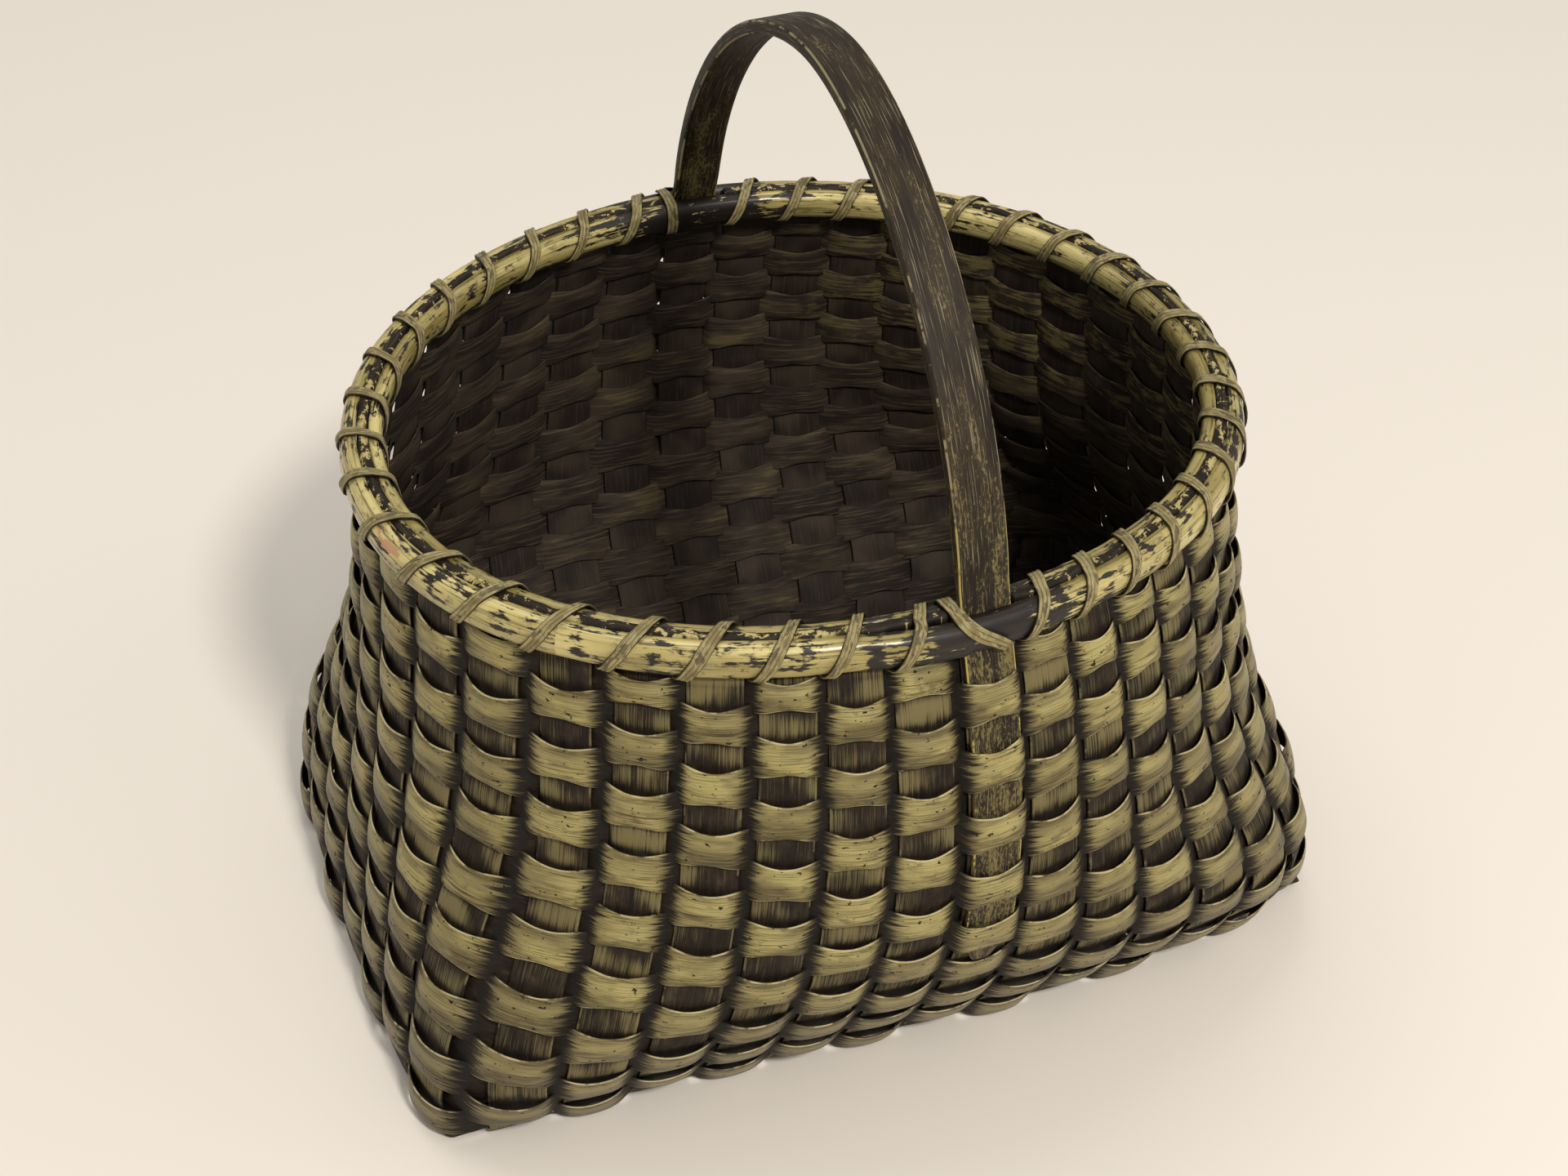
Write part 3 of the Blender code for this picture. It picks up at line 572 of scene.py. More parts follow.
def weaver_material():
    """Weavers: brushed olive gold, dark under the stakes and rubbed brown inside, with painted shade along
    the lower edges, in the crevices at stake edges and on the far right, and a painted highlight band.
    """
    paint = Paint("weaver_paint")
    fibre = paint.noise((34, 2500, 1), 4.0, 0.65)
    coarse = paint.noise((46, 820, 1), 4.0, 0.62, shift=3.1)
    patch = paint.noise((110, 190, 1), 4.0, 0.6, shift=7.7)
    tone = paint.noise((24, 60, 1), 3.0, 0.55, shift=1.3)
    spots = paint.noise((300, 420, 1), 3.0, 0.6, shift=5.0)
    gold = paint.mix(paint.ramp(tone, 0.36, 0.64), "655a37", "aa9d63")
    dull = paint.mix(paint.ramp(tone, 0.36, 0.64), "574d37", "786d50")
    # painted shade: the gold turns duller on the far right, where less light falls; it also turns duller
    # towards the bottom rows
    far_right_painted_shade = paint.times(paint.ramp(paint.x, 0.08, 0.20), 0.6)
    gold = paint.mix(paint.math("MAXIMUM", paint.ramp(paint.z, 0.125, 0.035), far_right_painted_shade), gold, dull)
    gold = paint.mix(paint.ramp(coarse, 0.51, 0.65, 0.0, 0.75), gold, "453b25")
    gold = paint.mix(paint.ramp(fibre, 0.52, 0.62, 0.0, 0.8), gold, "2f281b")
    gold = paint.mix(paint.ramp(fibre, 0.46, 0.36, 0.0, 0.35), gold, "bdb07a")
    gold = paint.mix(paint.ramp(patch, 0.54, 0.68, 0.0, 0.6), gold, "50442b")
    # painted shade: darker along each weaver's lower edge, where it curves under
    lower_edge_painted_shade = paint.ramp(paint.plus(paint.b, paint.times(coarse, 0.5)), -0.35, -0.85, 0.0, 0.55)
    gold = paint.mix(lower_edge_painted_shade, gold, "3d3521")
    # painted highlight: a lighter band across the upper middle of each weaver
    painted_highlight_band = paint.ramp(paint.size(paint.minus(paint.b, 0.30)), 0.55, 0.10, 0.0, 0.35)
    gold = paint.mix(painted_highlight_band, gold, "aca06a")
    dark = dark_wood(paint, fibre, patch)
    # painted shade: near black in the crevice where the weaver passes behind a stake's edge, over the dark
    # stain
    crevice_painted_shade = paint.ramp(paint.size(paint.a), 0.45, 0.10, 0.0, 0.7)
    dark = paint.mix(crevice_painted_shade, dark, "14100c")
    feather = paint.times(paint.minus(coarse, 0.5), 1.7)
    reach = paint.plus(paint.a, feather)
    reach = paint.plus(reach, paint.times(paint.minus(fibre, 0.5), 1.1))
    cover = paint.ramp(reach, 0.18, 0.60)
    chips = paint.ramp(spots, 0.64, 0.68)
    cover = paint.times(cover, paint.minus(1.0, chips))
    cover = paint.times(cover, paint.ramp(paint.c, 0.0, 0.5))
    colour = paint.mix(cover, dark, gold)
    inside = paint.mix(paint.ramp(tone, 0.40, 0.66), "251e19", "443a2e")
    inside = paint.mix(paint.ramp(coarse, 0.48, 0.68, 0.0, 0.7), inside, "5d503c")
    rubbed = paint.ramp(paint.plus(tone, paint.times(coarse, 0.5)), 0.86, 0.98, 0.0, 0.6)
    inside = paint.mix(rubbed, inside, "6b5f3e")
    corner = paint.times(paint.ramp(paint.x, 0.03, 0.14), paint.ramp(paint.z, 0.13, 0.20))
    olive = paint.times(corner, paint.ramp(paint.plus(patch, coarse), 0.96, 1.12, 0.0, 0.75))
    inside = paint.mix(olive, inside, "75693f")
    colour = paint.mix(paint.ramp(paint.c, -0.3, -0.8), colour, inside)
    edge = paint.ramp(paint.size(paint.b), 0.90, 0.97)
    broken = paint.ramp(paint.noise((95, 10, 1), 3.0, 0.6, shift=9.4), 0.42, 0.56)
    worn = paint.times(paint.times(edge, broken), paint.ramp(paint.a, 0.15, 0.6))
    worn = paint.times(worn, paint.ramp(paint.c, -0.2, 0.3, 0.0, 0.85))
    colour = paint.mix(worn, colour, "c4b98c")
    height = paint.plus(fibre, paint.times(cover, 0.35))
    rough = paint.ramp(cover, 0.0, 1.0, 0.72, 0.38)
    return paint.finish(colour, rough, height, 0.75, 0.0003)


def stake_material():
    """Upright splints: dark windows with dry-brushed olive streaks."""
    paint = Paint("stake_paint")
    fibre = paint.noise((28, 2400, 1), 4.0, 0.65)
    coarse = paint.noise((36, 1000, 1), 4.0, 0.65, shift=3.1)
    patch = paint.noise((95, 150, 1), 4.0, 0.6, shift=7.7)
    tone = paint.noise((34, 36, 1), 2.0, 0.5, shift=1.3)
    dark = dark_wood(paint, fibre, patch)
    olive = paint.mix(paint.ramp(tone, 0.35, 0.65), "554b30", "7a6f48")
    reach = paint.plus(paint.times(paint.a, 0.30), paint.times(tone, 2.0))
    streak = paint.plus(paint.times(fibre, 1.3), paint.times(coarse, 1.3))
    reach = paint.plus(reach, streak)
    cover = paint.times(paint.ramp(reach, 2.36, 2.84, 0.0, 0.85), paint.ramp(paint.c, 0.0, 0.5))
    cover = paint.times(cover, paint.ramp(paint.a, -0.1, 0.75))
    colour = paint.mix(cover, dark, olive)
    inside = paint.mix(paint.ramp(tone, 0.38, 0.66), "241d18", "40362b")
    inside = paint.mix(paint.ramp(coarse, 0.5, 0.75, 0.0, 0.5), inside, "54473a")
    colour = paint.mix(paint.ramp(paint.c, -0.3, -0.8), colour, inside)
    edge = paint.ramp(paint.size(paint.b), 0.91, 0.97)
    broken = paint.ramp(paint.noise((120, 10, 1), 3.0, 0.6, shift=9.4), 0.45, 0.6)
    worn = paint.times(paint.times(edge, broken), paint.ramp(paint.c, -0.2, 0.3, 0.0, 0.6))
    colour = paint.mix(worn, colour, "857a58")
    height = paint.plus(fibre, paint.times(cover, 0.3))
    return paint.finish(colour, paint.ramp(cover, 0.0, 1.0, 0.7, 0.5), height, 0.55, 0.0003)


def hoop_material():
    """Hoops: olive gold with brown patches, painted shade beside every wrap and more dark showing towards the
    handle feet.
    """
    paint = Paint("hoop_paint")
    fibre = paint.noise((16, 800, 1), 3.0, 0.6)
    patch = paint.noise((45, 160, 1), 4.0, 0.62, 0.6, shift=7.7)
    small = paint.noise((150, 330, 1), 4.0, 0.65, 0.4, shift=4.2)
    tone = paint.noise((12, 60, 1), 2.0, 0.5, shift=1.3)
    gold = paint.mix(paint.ramp(tone, 0.36, 0.64), "8f8149", "cabb7c")
    gold = paint.mix(paint.ramp(fibre, 0.50, 0.66, 0.0, 0.7), gold, "4a3f29")
    gold = paint.mix(paint.ramp(small, 0.50, 0.70, 0.0, 0.7), gold, "57462e")
    dark = dark_wood(paint, fibre, small)
    dark = paint.mix(paint.ramp(small, 0.35, 0.65, 0.3, 0.7), dark, "0f0b08")
    loss = paint.plus(patch, paint.times(paint.minus(small, 0.5), 0.6))
    loss = paint.plus(loss, paint.times(paint.minus(fibre, 0.5), 0.5))
    # mark a: painted shade beside each wrap of the lashing, and more dark showing towards the handle feet
    loss = paint.plus(loss, paint.times(paint.a, 0.26))
    cover = paint.minus(1.0, paint.ramp(loss, 0.56, 0.66))
    colour = paint.mix(cover, dark, gold)
    chip = paint.plus(paint.b, paint.times(paint.minus(small, 0.5), 1.6))
    colour = paint.mix(paint.ramp(chip, 0.52, 0.60), colour, "b98d66")
    height = paint.plus(paint.times(fibre, 0.5), paint.times(cover, 0.5))
    return paint.finish(colour, paint.ramp(cover, 0.0, 1.0, 0.60, 0.27), height, 0.4, 0.0003, coat=0.15)


def filler_material():
    """The strip between the hoops: dark, with bright flakes of old paint."""
    paint = Paint("filler_paint")
    fibre = paint.noise((30, 700, 1), 3.0, 0.6)
    patch = paint.noise((120, 260, 1), 4.0, 0.62, 0.5, shift=7.7)
    small = paint.noise((420, 520, 1), 3.0, 0.6, shift=2.6)
    dark = dark_wood(paint, fibre, patch)
    loss = paint.plus(patch, paint.times(paint.minus(small, 0.5), 0.5))
    cover = paint.ramp(loss, 0.555, 0.60)
    gold = paint.mix(paint.ramp(small, 0.4, 0.6), "8d7f4b", "b0a26f")
    colour = paint.mix(cover, dark, gold)
    height = paint.plus(paint.times(small, 0.8), paint.times(cover, 0.8))
    return paint.finish(colour, paint.ramp(cover, 0.0, 1.0, 0.6, 0.45), height, 0.8, 0.0005)


def lashing_material():
    """Lashing splint: grooved, gold on its ridges and dark in its grooves."""
    paint = Paint("lashing_paint")
    fibre = paint.noise((30, 1600, 1), 3.0, 0.6)
    patch = paint.noise((130, 260, 1), 4.0, 0.6, 0.3, shift=7.7)
    gold = paint.mix(paint.ramp(patch, 0.38, 0.62), "7b6e47", "aca072")
    gold = paint.mix(paint.ramp(fibre, 0.54, 0.7, 0.0, 0.7), gold, "3c3421")
    dark = dark_wood(paint, fibre, patch)
    cover = paint.times(paint.ramp(paint.a, 0.15, 0.75), paint.ramp(patch, 0.62, 0.52, 0.25, 1.0))
    colour = paint.mix(cover, dark, gold)
    height = paint.plus(fibre, paint.times(patch, 0.5))
    return paint.finish(colour, paint.ramp(cover, 0.0, 1.0, 0.55, 0.42), height, 0.6, 0.0004)


def handle_material():
    """Handle: dark grey brown, fine scratches along it, gold speckles that thicken towards the rim."""
    paint = Paint("handle_paint")
    fibre = paint.noise((18, 1700, 1), 4.0, 0.65)
    scratch = paint.noise((45, 1900, 1), 2.0, 0.5, shift=6.1)
    patch = paint.noise((26, 120, 1), 4.0, 0.62, 0.4, shift=7.7)
    small = paint.noise((420, 980, 1), 5.0, 0.75, 0.3, shift=4.2)
    tone = paint.mix(paint.ramp(patch, 0.35, 0.65), "1c150e", "32281b")
    tone = paint.mix(paint.ramp(fibre, 0.5, 0.72, 0.0, 0.55), tone, "51442c")
    tone = paint.mix(paint.ramp(scratch, 0.59, 0.68, 0.0, 0.8), tone, "83775c")
    speck = paint.plus(paint.times(small, 0.75), paint.times(patch, 0.45))
    speck = paint.plus(speck, paint.times(paint.a, 0.11))
    cover = paint.ramp(speck, 0.67, 0.78, 0.0, 0.8)
    colour = paint.mix(cover, tone, "7d7145")
    edge = paint.ramp(paint.b, 0.90, 0.97)
    broken = paint.ramp(paint.noise((60, 10, 1), 4.0, 0.65, shift=9.4), 0.44, 0.52)
    bare = paint.mix(paint.ramp(paint.a, 0.25, 0.75), "8f8463", "b6a355")
    colour = paint.mix(paint.times(edge, broken), colour, bare)
    height = paint.plus(fibre, paint.times(cover, 0.3))
    return paint.finish(colour, paint.ramp(fibre, 0.3, 0.7, 0.55, 0.7), height, 0.4, 0.0003)


WEAVER = weaver_material()
STAKE = stake_material()
HOOP = hoop_material()
FILLER = filler_material()
LASHING = lashing_material()
HANDLE = handle_material()

# ---------------------------------------------------------------- upright splints and bottom


def wall_part(stake, flip):
    """Sections up one wall from just above the bottom to the cut top."""
    rim_length = float(wall.rim_length[stake * wall.PER_STAKE])
    lengths = np.arange(WALL_START, rim_length + SPLINT_TOP_ABOVE_RIM, WALL_STEP)
    lengths = np.append(lengths, rim_length + SPLINT_TOP_ABOVE_RIM)
    rows = wall.row_at_length(stake, lengths)
    point, across, _, out = wall.at(np.full(len(rows), float(stake)), rows)
    ahead = wall.rim(np.array([stake + 0.5]))[0][0]
    behind = wall.rim(np.array([stake - 0.5]))[0][0]
    extra = END_SPLINT_EXTRA if stake % (STAKE_COUNT // 2) >= CROSS_COUNT else 0.0
    base_width = SPLINT_WIDTH + extra
    top_width = min(SPLINT_TOP_WIDTH + extra, np.linalg.norm(ahead - behind) - SPLINT_TOP_GAP)
    width = base_width + (top_width - base_width) * np.clip(lengths / rim_length, 0, 1)
    floor_width = FLOOR_LONG_WIDTH if extra else FLOOR_CROSS_WIDTH
    width = width + (floor_width - base_width) * np.clip(1 - lengths / TURN_FLARE, 0, 1)
    fade = np.clip((rim_length - WAVE_STOP_BELOW_RIM - lengths) / WAVE_FADE, 0, 1)
    fade = fade * np.clip(lengths / WAVE_FADE, 0, 1)
    phase = np.cos(math.pi * (rows + stake))
    wave = SPLINT_WAVE * phase * fade
    drift = noise_line(lengths, SPLINT_DRIFT_LENGTH, 300 + stake) * SPLINT_DRIFT * fade
    width = width * (1 + SPLINT_UNEVEN * noise_line(lengths, SPLINT_UNEVEN_LENGTH, 900 + stake) * fade)
    point = point + out * wave[:, None] + across * drift[:, None]
    shown = phase * np.clip(lengths / SPLINT_SHADOW_LENGTH, 0, 1)
    shown = np.where(rows > ROW_COUNT - 0.6, CUT_TOP_SHOWN, shown)
    return point, across * flip, out, width, lengths, shown, np.full(len(rows), SPLINT_THICK)


def floor_part(start_stake, end_stake, direction, widths, others, sign):
    """Sections across the bottom, over and under the other set of splints."""
    start = wall.at(float(start_stake), wall.row_at_length(start_stake, WALL_START))[0]
    end = wall.at(float(end_stake), wall.row_at_length(end_stake, WALL_START))[0]
    flat_start, flat_end = start * np.array([1, 1, 0.0]), end * np.array([1, 1, 0.0])
    span = np.linalg.norm(flat_end - flat_start)
    steps = np.arange(FLOOR_MARGIN, span - FLOOR_MARGIN, FLOOR_STEP)
    share = steps / span
    point = flat_start[None, :] * (1 - share[:, None]) + flat_end[None, :] * share[:, None]
    axis = 1 if direction[0] else 0
    places = point[:, axis]
    order = np.argsort(others)
    known, numbers = np.array(others)[order], np.arange(len(others))[order]
    phase = np.interp(places, known, numbers, left=-0.5, right=len(others) - 0.5)
    level = np.tanh(FLOOR_SHARPNESS * np.cos(math.pi * phase)) * sign
    inside = np.clip(np.minimum(steps, span - steps) / TURN_IN, 0, 1)
    ease = inside * inside * (3 - 2 * inside)
    edge = np.where(steps < span / 2, start[2], end[2])
    point[:, 2] = edge * (1 - ease) ** 2 + (FLOOR_Z + FLOOR_WAVE * level * ease) * (1 - (1 - ease) ** 2)
    across = np.tile(np.array(direction, float), (len(steps), 1))
    slope = unit(np.gradient(point, axis=0))
    out = np.cross(across, slope)
    out *= -np.sign(out[:, 2:3])
    width = SPLINT_WIDTH + (widths - SPLINT_WIDTH) * ease
    shown, thick = (np.full(len(steps), value) for value in (FLOOR_SHOWN, FLOOR_THICK))
    return point, across, out, width, steps, shown, thick


def splint(name, start_stake, end_stake, direction, floor_width, others, sign, seed):
    first = wall_part(start_stake, 1)
    second = wall_part(end_stake, -1)
    floor = floor_part(start_stake, end_stake, direction, floor_width, others, sign)
    parts = [tuple(values[::-1] for values in first), floor, second]
    centre, across, out, width, _, shown, thick = [np.concatenate(group) for group in zip(*parts)]
    along = run_length(centre)
    crown = SPLINT_CROWN * (thick == SPLINT_THICK)
    strip(name, centre, across, out, width, thick, crown, along, shown, seed, STAKE)


def floor_places(stakes, axis):
    return [float(wall.at(float(stake), 0.0)[0][axis]) for stake in stakes]


cross_places = floor_places(range(CROSS_COUNT), 0)
long_places = floor_places(range(CROSS_COUNT, CROSS_COUNT + LONG_COUNT), 1)
for index in range(CROSS_COUNT):
    sign = -1 if index % 2 else 1
    far = FAR_MIDDLE + NEAR_MIDDLE - index
    name = f"cross_splint_{index + 1:02d}"
    splint(name, index, far, (1, 0, 0), FLOOR_CROSS_WIDTH, long_places, sign, 20.0 + index * 1.7)
for index in range(LONG_COUNT):
    sign = 1 if index % 2 else -1
    left = LEFT_MIDDLE + LONG_COUNT // 2 - index
    name = f"long_splint_{index + 1:02d}"
    right = CROSS_COUNT + index
    splint(name, left, right, (0, -1, 0), FLOOR_LONG_WIDTH, cross_places, sign, 60.0 + index * 1.9)

# ---------------------------------------------------------------- weavers


def float_level(stake, row):
    """How far a weaver stands off the wall: arched floats outside the stakes, shallow dips inside them."""
    wave = -np.cos(math.pi * (stake + row))
    nearest = np.floor(stake + 0.5).astype(int)
    lively = 0.82 + 0.36 * np.random.default_rng(500 + row).uniform(0, 1, STAKE_COUNT + 1)
    rise = FLOAT_RISE * lively[nearest % STAKE_COUNT]
    sharp = np.full(len(stake), FLOAT_SHARPNESS)
    handle = np.isin(nearest % STAKE_COUNT, (NEAR_MIDDLE, FAR_MIDDLE)) & (row >= HANDLE_FIRST_BAND)
    rise = np.where(handle, HANDLE_FLOAT_RISE, rise)
    sharp = np.where(handle, HANDLE_FLOAT_SHARPNESS, sharp)
    level = np.tanh(sharp * wave) / np.tanh(sharp)
    return np.where(wave > 0, rise, FLOAT_SINK) * level, wave


def weaver(row):
    """One weaver's ring, which starts inside a stake so that its join is hidden."""
    count = STAKE_COUNT * WEAVER_STEPS
    stake = row % 2 + np.arange(count) / WEAVER_STEPS
    low_row, high_row = row - 0.5, row + 0.5
    jitter = noise_line(stake, 1.1, 40 + row, 2)
    tilt = noise_line(stake, 1.3, 80 + row, 2)
    bottom = wall.at(stake, low_row)[0]
    top = wall.at(stake, high_row)[0]
    middle, across, up, out = wall.at(stake, float(row))
    local = np.linalg.norm(top - bottom, axis=1)
    offset, wave = float_level(stake, row)
    width = local * (1 + WEAVER_UNEVEN * jitter) + WEAVER_LAP + WEAVER_CROSSING_LAP * (1 - wave**2)
    centre = (bottom + top) / 2
    if row == 0:
        width = width - EDGE_ROW_TRIM
        centre = centre + up * EDGE_ROW_TRIM / 2
    if row == ROW_COUNT - 1:
        width = width - EDGE_ROW_TRIM
    direction = unit(unit(top - bottom) + out * (WEAVER_LEAN * tilt[:, None]))
    waver = WEAVER_WAVER * noise_line(stake, 0.9, 120 + row, 2)
    centre = centre + out * offset[:, None] + up * waver[:, None]
    ahead = unit(np.roll(centre, -1, axis=0) - np.roll(centre, 1, axis=0))
    face = unit(np.cross(ahead, direction))
    along = run_length(wrap(centre))
    crown = WEAVER_CROWN * np.clip(wave, -0.3, 1) * (0.7 + 0.3 * tilt)
    thick = np.full(count, WEAVER_THICK)
    name = f"weaver_{row + 1:02d}"
    seed = 100.0 + row * 2.3
    strip(name, centre, direction, face, width, thick, crown, along, wave, seed, WEAVER, close_i=True)


for row in range(ROW_COUNT):
    weaver(row)

# ---------------------------------------------------------------- rim hoops, fillers and lashing


def from_handle(stake):
    """Stake positions to the nearer handle foot."""
    return np.abs((stake - NEAR_MIDDLE + STAKE_COUNT / 4) % (STAKE_COUNT / 2) - STAKE_COUNT / 4)


def handle_bulge(stake):
    return HANDLE_BULGE * np.clip(1.0 - from_handle(stake) / 2.0, 0.0, 1.0)


def scarf(stake):
    """The thickened overlap of the outer hoop's two ends, just left of the near handle foot."""
    climb = np.clip((stake - (NEAR_MIDDLE - 2.2)) / 1.2, 0, 1)
    fall = np.clip((NEAR_MIDDLE - 0.30 - stake) / 0.12, 0, 1)
    return SCARF_SWELL * climb * climb * (3 - 2 * climb) * fall


def nearness_to_wrap(stake):
    """One beside a wrap of the lashing, zero halfway between two."""
    return np.clip(1.0 - np.abs((stake + 0.25) % 1.0 - 0.5) / 0.16, 0.0, 1.0)


def hoop_profile(steps):
    """Half-round section: flat towards the wall, round outside, from the lower back corner up and over."""
    angles = np.linspace(-math.pi / 2, math.pi / 2, steps)
    outward = HOOP_INNER_FACE + HOOP_DEPTH * np.abs(np.cos(angles)) ** 0.62
    sine = np.sin(angles)
    upward = np.where(sine < 0, HOOP_BELOW, HOOP_ABOVE) * np.sign(sine) * np.abs(sine) ** 0.85
    return outward, upward


def hoop(name, sign, seed):
    count = STAKE_COUNT * HOOP_STEPS
    stake = np.arange(count) / HOOP_STEPS
    point, out, rise = wall.rim(stake)
    outward, upward = hoop_profile(HOOP_SIDES)
    bulge = handle_bulge(stake) + scarf(stake) if sign > 0 else np.zeros(count)
    lumps = 1 + 0.05 * noise_line(stake, 1.7, seed) + 0.02 * noise_line(stake, 0.3, seed + 1)
    swell = HOOP_INNER_FACE + (outward[None, :] - HOOP_INNER_FACE) * lumps[:, None] + bulge[:, None]
    drop = upward[None, :] * (1 + 0.03 * noise_line(stake, 2.3, seed + 2))[:, None]
    points = tube_points(point, out * sign, rise, swell, drop)
    along = run_length(wrap(point))
    around = run_length(np.stack([outward, upward], axis=1))
    flow, mark = paint_grids(along, np.append(around, around[-1] + HOOP_FLAT), seed)
    corners = np.arange(count + 1) / HOOP_STEPS
    # painted shade beside each wrap of the lashing, plus darker paint towards the handle feet
    wrap_shade_and_foot_dark = nearness_to_wrap(corners) * 0.5 + np.clip(1.3 - from_handle(corners) / 1.6, 0, 1)
    mark[..., 0] = wrap_shade_and_foot_dark[:, None]
    if sign > 0:
        level = np.append(np.linspace(-1, 1, len(outward)), 1)
        chip_along = np.clip(1 - np.abs(corners - CHIP_STAKE) / 0.7, 0, 1)
        chip_round = np.clip(1 - np.abs(level - 0.35) / 0.5, 0, 1)
        mark[..., 1] = chip_along[:, None] * chip_round[None, :]
    grid_piece(name, points, flow, mark, HOOP, close_i=True)


hoop("rim_outer_hoop", 1, 211)
hoop("rim_inner_hoop", -1, 223)


def filler(name, first, seed):
    stake = np.arange(first + FILLER_TUCK, first + STAKE_COUNT / 2 - FILLER_TUCK, 1 / FILLER_STEPS)
    point, out, rise = wall.rim(stake)
    low = ((-1.0, 0.0040), (1.0, 0.0040))
    shape = np.array([*low, (1.0, 0.0070), (0.6, 0.0080), (0.0, 0.0083), (-0.6, 0.0080), (-1.0, 0.0070)])
    half = FILLER_HALF_WIDTH * (1 + 0.08 * noise_line(stake, 0.4, seed))
    top = FILLER_LUMPS * noise_line(stake, 0.22, seed + 1)
    lift = shape[None, :, 1] + np.where(shape[:, 1] > 0.005, 1.0, 0.0)[None, :] * top[:, None]
    points = tube_points(point, out, rise, shape[None, :, 0] * half[:, None], lift)
    along = run_length(point)
    flow, mark = paint_grids(along, wrap(shape[:, 0]) * FILLER_HALF_WIDTH, seed)
    grid_piece(name, points, flow, mark, FILLER)


filler("rim_filler_right", NEAR_MIDDLE, 231)
filler("rim_filler_left", FAR_MIDDLE, 237)


def curve_through(keys, per):
    """Catmull-Rom curve through rows of numbers."""
    keys = np.array(keys, float)
    padded = np.concatenate([2 * keys[:1] - keys[1:2], keys, 2 * keys[-1:] - keys[-2:-1]])
    t = (np.arange(per) / per)[:, None]
    result = []
    for a, b, c, d in zip(padded, padded[1:], padded[2:], padded[3:]):
        square, cube = 2 * a - 5 * b + 4 * c - d, 3 * b - a - 3 * c + d
        result.append(0.5 * (2 * b + (c - a) * t + square * t**2 + cube * t**3))
    return np.concatenate(result + [keys[-1:]])


def lashing_strip(name, keys, seed, width):
    path = curve_through(keys, 4)
    stake, outward, upward = path.T
    point, out, rise = wall.rim(stake)
    bulge = np.where(outward > LASHING_HALF_LOOP[0][0], handle_bulge(stake) + scarf(stake % STAKE_COUNT), 0.0)
    centre = point + out * (outward + bulge)[:, None] + rise * upward[:, None]
    ahead = unit(np.gradient(centre, axis=0))
    face = centre - point
    face = unit(face - ahead * np.sum(face * ahead, axis=1, keepdims=True))
    across = np.cross(ahead, face)
    v = np.linspace(-1, 1, 13)
    ridge = 0.35 + 0.65 * np.abs(np.cos(v * math.pi * LASHING_RIDGES / 2)) ** 0.6
    ridge[[0, -1]] = 0.0
    shape = np.concatenate([np.stack([v, ridge], 1), [(1.0, -0.8), (0.5, -1.0), (-0.5, -1.0), (-1.0, -0.8)]])
    half = width / 2 * (1 + 0.10 * noise_line(np.arange(len(centre)) / 30, 1.0, seed))
    lift = (shape[:, 1] * LASHING_THICK / 2)[None, :]
    points = tube_points(centre, across, face, shape[None, :, 0] * half[:, None], lift)
    along = run_length(centre)
    closed = wrap(shape)
    flow, mark = paint_grids(along, closed[:, 0] * width / 2, seed)
    mark[..., 0] = np.clip(closed[:, 1], 0, 1)[None, :]
    grid_piece(name, points, flow, mark, LASHING)


loop = list(LASHING_HALF_LOOP) + [(-outward, upward) for outward, upward in reversed(LASHING_HALF_LOOP)]
wraps = []
for turn in range(STAKE_COUNT - 1):
    gap = (NEAR_MIDDLE + turn) % STAKE_COUNT
    travel = HANDLE_LASHING_TRAVEL if gap + 1 == FAR_MIDDLE else LASHING_TRAVEL
    for step, (along, (outward, upward)) in enumerate(zip(travel, loop)):
        start = LASHING_START if not wraps else 0.0
        wraps.append((NEAR_MIDDLE + turn + 0.5 + along + start, outward, upward))
lashing_strip("rim_lashing", wraps, 251, LASHING_WIDTH)
strap = [(NEAR_MIDDLE + along, outward, upward) for along, outward, upward in HANDLE_STRAP]
lashing_strip("handle_lashing", strap, 257, LASHING_WIDTH * STRAP_WIDEN)

# ---------------------------------------------------------------- handle


def handle_leg(stake, flip):
    """Sections of one leg from its tip, between the weavers, to the rim."""
    rim_row = float(wall.rim_row[stake * wall.PER_STAKE])
    rows = np.arange(HANDLE_LAST_ROW, rim_row + HANDLE_LEG_ABOVE_RIM, HANDLE_LEG_STEP)
    point, across, _, out = wall.at(np.full(len(rows), float(stake)), rows)
    lengths = np.array([wall.length_at(stake, row) for row in rows])
    from_tip = lengths - lengths[0]
    widen = np.clip(from_tip / HANDLE_TIP_TAPER, 0, 1) ** 0.6
    width = HANDLE_TIP_WIDTH + (HANDLE_WIDTH - HANDLE_TIP_WIDTH) * widen
    thick = np.full(len(rows), HANDLE_LEG_THICK) * np.clip(0.35 + from_tip / HANDLE_THIN_TAPER, 0, 1)
    centre = point + out * HANDLE_STAND_OFF
    return centre, across * flip, out, width, thick


